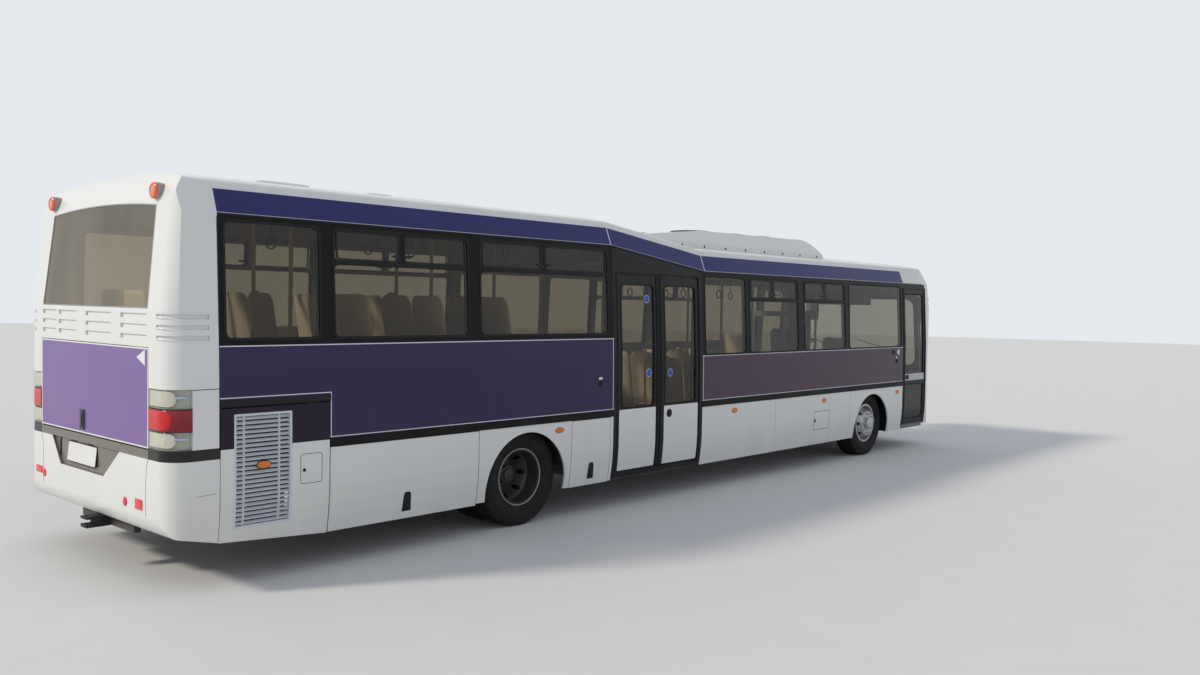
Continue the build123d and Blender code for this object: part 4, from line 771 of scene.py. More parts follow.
# Side windows: x from, x to, z from, z to, transom height or None, upper post or None
REAR_WINDOWS = [(0.41, 1.16, 1.755, 2.57, None, None), (1.29, 2.61, 1.755, 2.57, 2.32, 1.925),
                (2.755, 4.4, 1.755, 2.57, 2.32, 3.523)]
FRONT_WINDOWS = [(6.02, 6.81, 1.51, 2.36, None, None), (6.9, 7.96, 1.51, 2.36, 2.12, 7.4),
                 (8.12, 9.15, 1.51, 2.36, 2.12, 8.63), (9.27, 10.8, 1.51, 2.36, None, None)]
LEFT_EXTRA_WINDOWS = [(4.56, 5.9, 1.51, 2.37, None, None), (10.94, 11.55, 1.18, 2.3, None, None)]


def vent_window(rails, place, low, high, transom, top):
    """The frame of an opening pane over the transom."""
    outer = rounded(low + 0.018, high - 0.018, transom + 0.018, top - 0.006, 0.034)
    inner = rounded(low + 0.034, high - 0.034, transom + 0.034, top - 0.02, 0.024)
    rails.frame(place, outer, inner, -0.008, 0.001)


def window_seals():
    """Rubber round every side pane, frames and catches on the opening ones."""
    seals, rails = Form(), Form()
    for side, windows in ((RIGHT, REAR_WINDOWS + FRONT_WINDOWS),
                          (LEFT, REAR_WINDOWS + LEFT_EXTRA_WINDOWS + FRONT_WINDOWS)):
        place = side_place(side)
        for x0, x1, z0, z1, transom, post in windows:
            seals.rim(place, (x0, x1, z0, z1), (0.016, 0.058), (-0.004, 0.042), -0.006, 0.0035, cuts=8)
            if transom is None:
                continue
            seals.plate(place, rounded(x0 + 0.01, x1 - 0.01, transom - 0.013, transom + 0.013, 0.006),
                        -0.006, 0.005)
            for low, high in ((x0, post), (post, x1)):
                vent_window(rails, place, low, high, transom, z1)
            for x in (post - 0.06, post + 0.06):
                rails.plate(place, rounded(x - 0.028, x + 0.028, transom + 0.06, transom + 0.078, 0.008),
                            -0.012, 0.006)
    seals.make("window_seals", "seal", edge=0.0012)
    rails.make("vent_window_frames", "black", edge=0.001)


def flap_hinge_cover():
    """The rounded cover over the hinge of the engine flap."""
    profile = [(1.274, 0.0), (1.278, 0.0078), (1.3, 0.0098), (1.322, 0.0078), (1.326, 0.0), (1.3, -0.004)]
    cover = Form().swept(side_place(RIGHT), profile, (0.362, 1.243))
    cover.make("flap_hinge_cover", "trim", edge=0.0015)


def flap_catches():
    """Rounded catches with a raised middle on the battery and service flaps."""
    outline = [(-0.08, 0.045), (-0.05, 0.043), (-0.02, 0.041), (0.03, 0.038), (0.06, 0.035), (0.074, 0.028),
               (0.08, 0.016)]
    for body, x, z in (("battery_flap", 1.974, 0.414), ("service_flap", 4.174, 0.425)):
        catch = Form()
        stack(catch, [(z + rise, x - half, x + half) for rise, half in outline], -0.003, 0.0018)
        stack(catch, [(z + rise, x - 0.022, x + 0.022) for rise in (-0.05, -0.02, 0.01, 0.03)], 0.0, 0.0042)
        catch.make(f"{body}_catch", "trim", body, edge=0.0008)


def filler_hatch():
    """The outline and lock of the filler hatch in the engine flap."""
    place = side_place(RIGHT)
    line = Form().rim(place, (0.988, 1.172, 0.673, 0.895), (0.0, 0.022), (-0.004, 0.018), -0.002, 0.0006)
    line.make("filler_hatch_line", "seal", "engine_flap")
    lock = Form().turned([(0.0, 0.006), (0.010, 0.006), (0.013, 0.003), (0.013, -0.004)],
                         place(1.02, 0.775, 0.0), (0, -1, 0), 24)
    lock.make("filler_hatch_lock", "trim", "engine_flap")


def side_locks():
    """Turning knobs, a latch and a box on the right side, with blank labels beside them."""
    place = side_place(RIGHT)
    knobs, labels = Form(), Form()
    knobs.plate(place, rounded(8.376, 8.402, 0.578, 0.622, 0.011, 4), -0.003, 0.006)
    for x, z, radius in ((4.286, 1.262, 0.032), (10.66, 1.30, 0.03)):
        knobs.turned([(0.0, 0.004), (radius * 0.5, 0.004), (radius * 0.62, 0.009), (radius * 0.92, 0.008),
                      (radius, 0.003), (radius, -0.004)], place(x, z, 0.0), (0, -1, 0), 32)
        knobs.plate(place, rounded(x - 0.006, x + 0.006, z - 0.02, z + 0.02, 0.004), 0.0, 0.008)
    knobs.plate(place, rounded(10.53, 10.60, 1.395, 1.455, 0.012), -0.002, 0.011)
    knobs.make("side_locks", "trim", edge=0.001)
    for outline in (rounded(4.262, 4.312, 1.302, 1.326, 0.004), rounded(10.635, 10.685, 1.34, 1.358, 0.004),
                    [(10.66, 1.425), (10.74, 1.475), (10.74, 1.375)]):
        labels.plate(place, outline, -0.001, 0.0008)
    labels.make("blank_labels", "white")


def side_joints():
    """Joint lines of the front service flap and of the rear corners."""
    lines = Form()
    flap = rounded(8.361, 8.752, 0.483, 0.714, 0.012, 3)
    seam(lines, side_place(RIGHT), flap + flap[:1], 0.005)
    for side in SIDES:
        place = side_place(side)
        seam(lines, place, [(LAMP_X, 1.408), (0.356, 1.408)], 0.005)
        seam(lines, place, [(0.357, SKIRT_TOP_Z), (0.357, 2.6)], 0.005)
        seam(lines, place, [(0.2, 0.68), (0.335, 0.684)], 0.002)
    lines.make("side_joints", "seal")


def drip_rails():
    """Rails over the windows, where the coloured band of the roof begins."""
    rails = Form()
    path = [(CORNER_X, REAR_BAND_Z), (STEP_REAR, REAR_BAND_Z), (STEP_FRONT, FRONT_BAND_Z),
            (11.5, FRONT_BAND_Z)]
    profile = [(0.0, -0.012), (0.007, -0.010), (0.009, 0.0), (0.004, 0.006), (-0.002, 0.006),
               (-0.002, -0.012)]
    for side in SIDES:
        rails.skin([[on_side(side, x, z + rise, out) for out, rise in profile] for x, z in path])
    rails.make("drip_rails", "black", edge=0.001)


# Rear end

# A rear corner from the lamp's inner edge: flat first, then bent
CORNER_FLAT, CORNER_BEND = WIDEST - CORNER_R - LAMP_Y, CORNER_R * math.pi / 2
LAMP_RUN = CORNER_FLAT + CORNER_BEND - 0.005
# Lamps of a corner: z from, z to, whether it is clear
LAMP_BLOCKS = [(1.003, 1.123, True), (1.128, 1.274, False), (1.281, 1.409, True)]


def corner_place(side):
    """Outlines drawn as (run, z) round a rear corner: run is 0 where the lamp begins on the rear wall."""

    def place(run, z, depth):
        if run < CORNER_FLAT:
            return at(-depth, side * (LAMP_Y + run), z)
        turn = min(1.0, (run - CORNER_FLAT) / CORNER_BEND) * math.pi / 2
        along = max(0.0, run - CORNER_FLAT - CORNER_BEND)
        reach = CORNER_R + depth
        return at(CORNER_R - reach * math.cos(turn) + along,
                  side * (WIDEST - CORNER_R + reach * math.sin(turn)), z)

    return place


def lamp_shape(form, place, end, bend, z0, z1, near, far):
    """A strip round the corner from the lamp's inner edge, square there and round at its outer end."""
    middle, half = (z0 + z1) / 2, (z1 - z0) / 2
    rings = []
    for run in spread(0.008, end - bend, 9) + [end - bend * s for s in (0.75, 0.5, 0.3, 0.15, 0.05, 0.005)]:
        dip = max(0.0, run - end + bend) / bend
        height = half * (1 - dip * dip) ** 0.4
        rings.append([place(run, middle - height, near), place(run, middle - height, (near + far) / 2),
                      place(run, middle - height * 0.93, far), place(run, middle + height * 0.93, far),
                      place(run, middle + height, (near + far) / 2), place(run, middle + height, near)])
    form.skin(rings)


def rear_lights():
    """Three lamps on each corner: ribbed lenses and light bars in pale trays, behind clear and red covers;
    the bars' pale blue is a painted highlight.
    """
    backs, trays, red, bright, clear, lenses, bars = (Form() for _ in range(7))
    first, last = 0.004, LAMP_RUN - 0.004
    for side in SIDES:
        place = corner_place(side)
        for z0, z1, near, far in ((1.001, 1.411, -0.039, -0.035), (1.1235, 1.1275, -0.036, -0.004),
                                  (1.2755, 1.2795, -0.036, -0.004)):
            backs.strip(place, spread(0.001, LAMP_RUN - 0.001, 15), z0, z1, near, far)
        for z0, z1, is_clear in LAMP_BLOCKS:
            shape = [(z0, -0.012), (z0, -0.002), (z0 + 0.006, 0.002), (z1 - 0.006, 0.002), (z1, -0.002),
                     (z1, -0.012)]
            if not is_clear:
                red.swept(place, shape, spread(first, last, 25))
                lamp_shape(bright, place, 0.255, 0.055, z0 + 0.008, z1 - 0.006, 0.0, 0.0032)
                continue
            shape += [(z1 - 0.002, -0.004), (z1 - 0.007, -0.001), (z0 + 0.007, -0.001), (z0 + 0.002, -0.004)]
            clear.swept(place, shape, spread(first, last, 25))
            trays.strip(place, spread(first, last, 21), z0 + 0.001, z1 - 0.001, -0.034, -0.028)
            trays.strip(place, spread(first, last, 21), z0 + 0.001, z0 + 0.005, -0.03, -0.013)
            lamp_shape(lenses, place, 0.285, 0.06, z0 + 0.010, z1 - 0.006, -0.029, -0.006)
            middle = z0 + 0.6 * (z1 - z0)
            bars.tube([place(run, middle, -0.012) for run in spread(0.27, 0.36, 11)], 0.0085)
    backs.make("rear_lamp_backs", "trim", replaces=("rear_lamps",))
    trays.make("rear_lamp_trays", "lamp_tray")
    red.make("rear_lamp_red_covers", "red_block")
    bright.make("rear_lamp_red_lenses", "red_lens")
    clear.make("rear_lamp_clear_covers", "lamp_glass")
    lenses.make("rear_lamp_clear_lenses", "clear_lens")
    bars.make("rear_lamp_bars", "light_bar")


def rear_light(grow):
    """The rear window's outline, wider by grow: narrower above, with an arched upper edge."""
    low, high = 0.939 + grow, 0.907 + grow
    arch = [high * math.cos(turn) for turn in spread(0.0, math.pi, 25)]
    foot = [(-low, 1.957 - grow), (low, 1.957 - grow)]
    return foot + [(y, 2.669 + grow + 0.038 * (1 - (y / high) ** 2)) for y in arch]


def rear_window_seal():
    """The thin seal round the rear window."""
    seals = Form().frame(rear_place, rear_light(0.003), rear_light(-0.006), -0.006, 0.001)
    seals.make("rear_window_seal", "grey", slot="rubber_black")


def vent_lips():
    """Lips over the three air slots of each rear corner: run, height, how far out."""
    shape = ((0.112, 0.003, 0.0), (0.128, 0.013, 0.006), (0.15, 0.021, 0.012), (0.18, 0.016, 0.011),
             (0.22, 0.011, 0.008), (0.27, 0.006, 0.005), (0.33, 0.002, 0.001))
    lips = Form()
    for side in SIDES:
        place = corner_place(side)
        for foot in (1.74, 1.813, 1.886):
            lips.skin([[place(run, foot, -0.013), place(run, foot, 0.0), place(run, foot + height * 0.5, out),
                        place(run, foot + height, out * 0.6), place(run, foot + height, -0.013)]
                       for run, height, out in shape])
    lips.make("corner_vent_lips", "white", crease=60)


def lid_handle():
    """The engine lid's lever in its frame."""
    place = lambda y, z, depth: at(-0.010 - depth, y, z)
    grip = Form().rim(place, (0.108, 0.172, 1.027, 1.173), (0.0, 0.01), (-0.008, 0.008), -0.001, 0.003)
    lever = [(1.045, 0.001), (1.05, 0.008), (1.11, 0.010), (1.15, 0.007), (1.156, 0.001), (1.1, -0.001)]
    grip.swept(place, lever, (0.124, 0.156))
    grip.make("engine_lid_handle", "dark_grey", "engine_lid", "black_frame", 0.001)


def number_plate():
    """The blank plate leaning in its recess, its holder with two clips, and a bar beside it."""
    recess = lambda y, z, depth: at(0.003 + (z - 0.75) * 0.11 - depth, y, z)
    plate = Form().plate(recess, rounded(-0.068, 0.453, 0.758, 0.901, 0.012), 0.0, 0.0015)
    plate.make("blank_number_plate", "white")
    holder = Form().plate(recess, rounded(-0.076, 0.461, 0.75, 0.909, 0.014), -0.004, 0.0)
    clip = ((0.912, -0.006), (0.912, 0.010), (0.922, 0.012), (0.927, -0.006))
    for y in (0.04, 0.34):
        holder.swept(recess, clip, (y - 0.035, y + 0.035))
    holder.plate(lambda y, z, depth: at(0.022 - depth, y, z), rounded(0.605, 0.635, 0.765, 0.93, 0.014),
                 0.0, 0.003)
    holder.make("number_plate_holder", "trim", edge=0.001)


def rear_reflectors():
    """A flat and a round reflector on each side of the rear bumper."""
    reflectors = Form()
    for y0, y1, z0, z1, disc_y, disc_z in ((-0.878, -0.762, 0.556, 0.628, -0.6, 0.581),
                                           (0.946, 1.076, 0.593, 0.649, 0.905, 0.602)):
        reflectors.plate(rear_place, rounded(y0, y1, z0, z1, 0.005), -0.001, 0.004)
        reflectors.turned([(0.0, 0.006), (0.026, 0.006), (0.033, 0.003), (0.034, -0.002)],
                          at(0.0, disc_y, disc_z), (-1, 0, 0), 36)
    reflectors.make("rear_reflectors", "red_plain", edge=0.0012)


def rear_joints():
    """Joint lines down both sides of the rear bumper."""
    path = ((0.968, 0.985), (0.968, 0.93), (0.94, 0.87), (0.925, 0.75), (0.925, 0.6), (0.93, 0.525))
    seams = Form()
    for side in SIDES:
        seam(seams, rear_place, [(side * y, z) for y, z in path], 0.004)
    seams.make("rear_joints", "seal")


def beacons():
    """Round lamps in short collars at the upper rear corners; the paler middles of their lenses are a painted
    highlight.
    """
    collar = [(0.0505, -0.010), (0.0575, -0.012), (0.0585, -0.05), (0.0505, -0.055)]
    rim = [(0.034, 0.004), (0.040, 0.0065), (0.050, 0.0045), (0.0565, -0.002), (0.0575, -0.012),
           (0.04, -0.012)]
    cap = [(0.0, 0.0075), (0.014, 0.007), (0.028, 0.0055), (0.037, 0.002), (0.037, -0.006)]
    x, y, z = 0.05, 0.908, 2.765
    for name, finish, profile, whole in (("beacon_collars", "grey", collar, True),
                                         ("beacon_rims", "beacon_lens", rim, True),
                                         ("beacon_lenses", "beacon_middle", cap, False)):
        form = Form()
        for side in SIDES:
            form.turned(profile, at(x, side * y, z), (-1, 0, 0), 40, whole)
        form.make(name, finish)


def oval_lens(form, place, x, z):
    """A low oval dome."""
    rings = []
    for share, depth in ((1.0, 0.001), (0.97, 0.0046), (0.88, 0.0053), (0.4, 0.0057), (0.0, 0.0058)):
        rings.append([place(a, b, depth) for a, b in oval(x, z, 0.055 * share + 1e-4, 0.026 * share + 1e-4)])
    form.skin(rings)


def marker_lamps():
    """Amber lamps in thin rubber along the skirts."""
    holders, lenses = Form(), Form()
    for side in SIDES:
        place = side_place(side)
        for x, z in ((3.72, 0.854), (6.586, 0.852), (8.615, 0.848), (10.7, 0.85)):
            holders.plate(place, oval(x, z, 0.058, 0.0285), -0.001, 0.002)
            oval_lens(lenses, place, x, z)
    holders.make("marker_rubbers", "seal")
    lenses.make("marker_lenses", "amber_lens")


def grille_fittings():
    """The grille's own lamp and its screws."""
    place = side_place(RIGHT, 0.002)
    ring, lamp, screws = Form(), Form(), Form()
    ring.plate(place, oval(0.694, 0.85, 0.059, 0.0295), -0.004, 0.002)
    oval_lens(lamp, place, 0.694, 0.85)
    ring.make("grille_lamp_rubber", "seal", "engine_flap")
    lamp.make("grille_lamp_lens", "amber_lens", "engine_flap")
    spots = [(x, z) for x in (0.474, 0.911) for z in (0.421, 0.62, 1.02, 1.215)]
    for x, z in spots + [(0.692, 0.421), (0.692, 1.215)]:
        screws.turned([(0.0, 0.0022), (0.004, 0.002), (0.0062, 0.0004), (0.0062, -0.001)],
                      place(x, z, 0.0), (0, -1, 0), 16)
    screws.make("grille_screws", "alloy", "engine_flap")


# Wheels

TYRE_STEPS = 168
NUT_RING_R = 0.1375
WALL_PROFILE = [(0.252, 0.108), (0.262, 0.1085), (0.27, 0.117), (0.292, 0.127), (0.296, 0.1315),
                (0.302, 0.1325), (0.306, 0.130), (0.33, 0.1385), (0.352, 0.1405), (0.356, 0.1415),
                (0.372, 0.1412), (0.376, 0.1395), (0.40, 0.1365), (0.418, 0.132), (0.43, 0.127),
                (0.436, 0.123)]
# Tyres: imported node, x, y of each tyre, body
TYRES = [("front_tyre_right", FRONT_AXLE_X, (-WHEEL_Y,), "wheel_front_right"),
         ("front_tyre_left", FRONT_AXLE_X, (WHEEL_Y,), "wheel_front_left"),
         ("rear_tyres_right", REAR_AXLE_X, (-INNER_WHEEL_Y, -WHEEL_Y), "wheels_rear_right"),
         ("rear_tyres_left", REAR_AXLE_X, (INNER_WHEEL_Y, WHEEL_Y), "wheels_rear_left")]


def tyre_form():
    """Rib tread with wavy grooves and shoulder notches, and a stepped sidewall; its middle is at 0."""
    half = TYRE_W / 2
    edge = [(TYRE_R - 0.0035, half - 0.024), (TYRE_R - 0.001, half - 0.034)]
    tread = list(edge)
    for groove in (0.075, 0.027, -0.027, -0.075):
        for step, depth in ((0.0065, 0.0), (0.0045, 0.012), (-0.0045, 0.012), (-0.0065, 0.0)):
            tread.append((TYRE_R - depth, groove + step))
    profile = WALL_PROFILE + tread + [(r, -y) for r, y in reversed(WALL_PROFILE + edge)]
    rings = []
    for k, angle in enumerate(turns(TYRE_STEPS)):
        ring = []
        for radius, y in profile:
            if abs(y) > half - 0.04 and radius > 0.425 and k % 4 == 0:
                radius -= 0.006
            shift = 0.0022 * math.sin(angle * 56) if radius > TYRE_R - 0.013 and abs(y) < 0.09 else 0.0
            ring.append(Vector((radius * math.cos(angle), y + shift, radius * math.sin(angle))))
        rings.append(ring)
    return Form().skin(rings, round_run=True)


def tyres():
    """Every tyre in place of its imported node."""
    shape = tyre_form()
    for name, x, places, body in TYRES:
        form = Form()
        for y in places:
            form.merged(shape, at(x, y, TYRE_R))
        form.make(name.replace("tyre", "treaded_tyre"), "tyre", body, replaces=(name,), crease=28)


def nuts_and_valve(y, size, depth, valve_y, side):
    """Ten nuts on a ring and a valve, for a wheel whose axis runs through 0."""
    form = Form()
    profile = [(size * 0.75, 0.0), (size * 0.75, depth * 0.25), (size * 0.62, depth * 0.3),
               (size * 0.6, depth), (size * 0.35, depth * 1.15), (0.0, depth * 1.2)]
    for angle in turns(10):
        centre = (NUT_RING_R * math.cos(angle), side * y, NUT_RING_R * math.sin(angle))
        form.turned(profile, centre, (0, side, 0), 6)
    path = ((0.19, 0.0, 0.03), (0.2, 0.02, 0.03), (0.21, 0.045, 0.032))
    return form.tube([(x, side * (valve_y + out), z) for x, out, z in path], 0.0045, 8)


def facing(side, profile):
    """A turned profile that looks out of a side."""
    return [(radius, side * along) for radius, along in profile]


def front_wheel(side):
    """Nuts, their ring and the hub cap of a front wheel."""
    centre = at(FRONT_AXLE_X, side * WHEEL_Y, TYRE_R)
    ring = [(0.112, 0.155), (0.1125, 0.159), (0.165, 0.159), (0.168, 0.155)]
    cap = [(0.082, 0.18), (0.080, 0.186), (0.066, 0.19), (0.062, 0.2), (0.04, 0.204), (0.0, 0.205)]
    form = Form().merged(nuts_and_valve(0.155, 0.019, 0.026, 0.12, side), centre)
    for profile in (ring, cap):
        form.turned(facing(side, profile), centre, sides=64)
    form.make(f"front_wheel_nuts_{SIDES[side]}", "silver", f"wheel_front_{SIDES[side]}")


def rear_wheel(side):
    """Nuts and bolted hub cap of a rear wheel, darkened as painted shade, and its outer rim's edge in silver
    as a painted highlight.
    """
    body = f"wheels_rear_{SIDES[side]}"
    centre = at(REAR_AXLE_X, 0, TYRE_R)
    hub = nuts_and_valve(0.886, 0.018, 0.03, 0.87, side)
    cap = [(0.084, 0.985), (0.086, 0.99), (0.08, 0.998), (0.06, 1.0), (0.056, 1.012), (0.03, 1.016),
           (0.0, 1.016)]
    hub.turned(facing(side, cap), (0, 0, 0), sides=56)
    for k in range(8):
        angle = math.radians(45 * k + 22)
        hub.turned([(0.0065, 0.0), (0.0065, 0.006), (0.0, 0.007)],
                   (0.07 * math.cos(angle), side * 0.998, 0.07 * math.sin(angle)), (0, side, 0), 6)
    Form().merged(hub, centre).make(f"rear_wheel_nuts_{SIDES[side]}", "dark_rim", body)
    # Painted highlight: the rim's lip in silver against the shaded rim, for the bright ring that light makes
    # on it.
    edge = [(0.253, 1.153), (0.2565, 1.159), (0.260, 1.159), (0.2625, 1.153)]
    rim = Form().turned(facing(side, edge), centre, sides=72, whole=True)
    rim.make(f"rear_rim_edge_highlight_{SIDES[side]}", "silver", body)


def wheels():
    tyres()
    for side in SIDES:
        front_wheel(side)
        rear_wheel(side)


# Seats

LOW_FLOOR_Z, HIGH_FLOOR_Z, HOUSE_TOP = 0.345, 1.0, 0.945
SEAT_W, SEAT_GAP, SEAT_Y, SEAT_BASE, BACK_TOP = 0.415, 0.024, 0.717, 0.395, 1.04
SEAT_ROWS = [(x, HIGH_FLOOR_Z) for x in (1.75, 2.5, 3.25)]
SEAT_ROWS += [(x, LOW_FLOOR_Z) for x in (6.4, 7.15, 7.9, 8.65)]
# Lines of the seats' cross sections: x, z, half width, half thickness
BACK_LINE = [(-0.036, 0.43, 0.150, 0.014), (-0.034, 0.44, 0.2, 0.022), (-0.044, 0.5, 0.2075, 0.026),
             (-0.059, 0.6, 0.2075, 0.025), (-0.077, 0.72, 0.2075, 0.024), (-0.095, 0.84, 0.2075, 0.023),
             (-0.110, 0.94, 0.2075, 0.022), (-0.122, 1.01, 0.206, 0.020), (-0.130, 1.05, 0.188, 0.017),
             (-0.135, 1.073, 0.16, 0.012), (-0.137, 1.083, 0.12, 0.004)]
BACK_PAD_LINE = [(0.008, 0.475, 0.12, 0.006), (0.004, 0.485, 0.158, 0.014), (-0.008, 0.55, 0.168, 0.018),
                 (-0.030, 0.66, 0.17, 0.02), (-0.054, 0.79, 0.168, 0.02), (-0.0745, 0.9, 0.162, 0.019),
                 (-0.083, 0.955, 0.148, 0.015), (-0.088, 0.98, 0.12, 0.007)]
PAN_LINE = [(-0.055, 0.418, 0.13, 0.012), (-0.045, 0.414, 0.185, 0.016), (0.05, 0.412, 0.2, 0.016),
            (0.2, 0.412, 0.203, 0.016), (0.35, 0.414, 0.2, 0.016), (0.42, 0.416, 0.18, 0.014),
            (0.437, 0.417, 0.13, 0.009)]
PAN_PAD_LINE = [(0.412, 0.438, 0.11, 0.006), (0.4, 0.44, 0.145, 0.013), (0.34, 0.442, 0.165, 0.018),
                (0.22, 0.440, 0.17, 0.019), (0.1, 0.438, 0.168, 0.018), (0.012, 0.437, 0.155, 0.014),
                (0.0, 0.436, 0.12, 0.007)]


def cushion(form, line, curl, power, seam_at=None):
    """A crowned pad along a line of sections; curl bends its sides forward, seam_at sinks two seams."""
    rings = []
    for i, (x, z, wide, thick) in enumerate(line):
        x0, z0 = line[max(i - 1, 0)][:2]
        x1, z1 = line[min(i + 1, len(line) - 1)][:2]
        run = Vector((x1 - x0, 0, z1 - z0)).normalized()
        normal = Vector((run.z, 0, -run.x))
        ring = []
        for angle in turns(28):
            c, s = math.cos(angle), math.sin(angle)
            across = math.copysign(abs(c) ** (2 / power), c)
            deep = math.copysign(abs(s) ** (2 / power), s)
            if seam_at and deep > 0 and abs(abs(across) - seam_at) < 0.06:
                deep *= 0.72
            crown = 1 - 0.22 * across * across
            offset = normal * (thick * deep * crown + curl * abs(across) ** 2.6)
            ring.append(Vector((x, wide * across, z)) + offset)
        rings.append(ring)
    form.skin(rings)


def seat_grip(grips, x, y, floor_z):
    """The looped handle on top of a back, towards the aisle."""
    path = []
    for angle in spread(0.0, math.pi, 15):
        path.append(at(x - 0.142 - 0.002 * math.sin(angle), y - 0.075 * math.cos(angle),
                       floor_z + BACK_TOP + 0.062 * max(0.0, math.sin(angle)) ** 0.6))
    grips.tube(path, 0.011, 10)


def passenger_seats():
    """Shells, pads and handles of every passenger seat."""
    shell, pad, shells, pads, grips = (Form() for _ in range(5))
    cushion(shell, BACK_LINE, 0.028, 5.0)
    cushion(shell, PAN_LINE, -0.014, 5.0)
    cushion(pad, BACK_PAD_LINE, 0.012, 4.0, 0.62)
    cushion(pad, PAN_PAD_LINE, 0.004, 4.0, 0.62)
    half_pair = (SEAT_W + SEAT_GAP) / 2
    bench_x, house_x, house_y = 0.62, 9.7, 0.86
    places = [(bench_x, index * (SEAT_W + SEAT_GAP), HIGH_FLOOR_Z) for index in range(-2, 3)]
    for side in SIDES:
        places.append((house_x, side * house_y, HOUSE_TOP - SEAT_BASE))
        for x, floor_z in SEAT_ROWS:
            places += [(x, side * SEAT_Y - half_pair, floor_z), (x, side * SEAT_Y + half_pair, floor_z)]
            seat_grip(grips, x, side * (SEAT_Y - half_pair), floor_z)
    for place in places:
        shells.merged(shell, at(*place))
        pads.merged(pad, at(*place))
    shells.make("seat_forms", "cream", replaces=("passenger_seats",), crease=50)
    pads.make("seat_pads", "cloth", slot="seat_cover", crease=60)
    grips.make("seat_grips", "yellow")


def resized(line, wide, thick, ahead=0.0, up=0.0):
    """A seat's line made wider and thicker, and moved."""
    return [(x + ahead, z + up, w * wide, t * thick) for x, z, w, t in line]


def driver_place():
    """The driver's seat on its bellows."""
    shell, pad, base = Form(), Form(), Form()
    cushion(shell, resized(BACK_LINE, 1.18, 1.3), 0.035, 4.5)
    cushion(shell, resized(PAN_LINE, 1.15, 1.2), -0.016, 4.5)
    cushion(pad, resized(BACK_PAD_LINE, 1.2, 1.5, ahead=0.006), 0.02, 4.0, 0.6)
    cushion(pad, resized(PAN_PAD_LINE, 1.2, 1.4, up=0.006), 0.006, 4.0, 0.6)
    seat_x, bellows_x, seat_y, foot_z = 10.76, 10.92, 0.64, 0.62
    spot = at(seat_x, seat_y, foot_z)
    Form().merged(shell, spot).make("driver_seat_shell", "dark_grey", replaces=("driver_seat",), crease=50)
    cover = Form().merged(pad, spot)
    cover.make("driver_seat_pad", "cloth", slot="seat_cover", crease=60)
    folds = [(0.0, 0.20), (0.03, 0.20), (0.05, 0.17), (0.09, 0.185), (0.13, 0.16), (0.17, 0.18),
             (0.21, 0.155), (0.25, 0.175), (0.29, 0.15), (0.33, 0.17), (0.385, 0.19)]
    rings = []
    for height, half in folds:
        outline = rounded(bellows_x - half, bellows_x + half, seat_y - half * 0.8, seat_y + half * 0.8,
                          0.05, 4)
        rings.append([at(x, y, foot_z + height) for x, y in outline])
    base.skin(rings)
    base.make("driver_seat_bellows", "seal")


# Doors

# Leaves: body, x of the free edge, which way its rubber stands out, panes
LEAVES = [("middle_door_rear", 5.212, 1, [(4.61, 5.125, 1.005, 2.24)]),
          ("middle_door_front", 5.22, -1, [(5.307, 5.84, 1.005, 2.24)]),
          ("front_door", 10.895, -1, [(10.945, 11.544, 1.03, 2.265), (10.945, 11.544, 0.44, 0.94)])]
DOOR_FOOT_Z, DOOR_TOP_Z, DOOR_BACK = 0.368, 2.33, 0.005


def door_seals(body, free_edge, way, panes):
    """Seals round a leaf's glass and the rubber along its free edge."""
    seals = Form()
    for box in panes:
        seals.rim(side_place(RIGHT, DOOR_BACK), box, (0.012, 0.05), (-0.006, 0.04), -0.012, 0.003, cuts=8)
    profile = [(-0.045, -0.004), (-0.045, 0.002), (-0.012, 0.0035), (0.001, -0.006), (0.001, -0.022),
               (-0.012, -0.03)]
    seals.skin([[on_side(RIGHT, free_edge + way * along, z, out) for along, out in profile]
                for z in side_heights(DOOR_FOOT_Z, DOOR_TOP_Z)])
    seals.make(f"{body}_seals", "seal", body, edge=0.001)


def grab_rail(body, x):
    """The upright rail inside a leaf."""
    path = ((0.98, 0.0, 0.0), (1.0, 0.055, 0.0), (1.03, 0.07, 0.01), (1.6, 0.07, 0.0), (1.63, 0.055, 0.005),
            (1.65, 0.0, 0.005))
    rail = Form().tube([at(x, 0.04 - half_width(z) + away, z + rise) for z, away, rise in path], 0.014)
    rail.make(f"{body}_grab_rail", "yellow", body)


def leaf_panels():
    """White panels low on the middle door's leaves."""
    for body, x0, x1 in (("middle_door_rear", 4.572, 5.150), ("middle_door_front", 5.290, 5.880)):
        white = Form()
        panel(white, x0, x1, 0.372, 0.985, -0.006, -0.0025)
        white.make(f"{body}_white_panel", "white", body, edge=0.0008)


def plain_discs():
    """Round stickers without a sign on the middle door's glass."""
    place = side_place(RIGHT, DOOR_BACK)
    for x, z, leaf in ((5.02, 2.1, "rear"), (5.045, 1.34, "rear"), (5.4, 1.33, "front")):
        disc = Form().plate(place, oval(x, z, 0.042, 0.042), -0.0075, -0.0065)
        disc.tone = 1
        disc.plate(place, oval(x, z, 0.038, 0.038), -0.0066, -0.006)
        disc.make(f"plain_disc_{leaf}_{round(z * 100)}", ("white", "disc_blue"), f"middle_door_{leaf}",
                  "sign_blue")


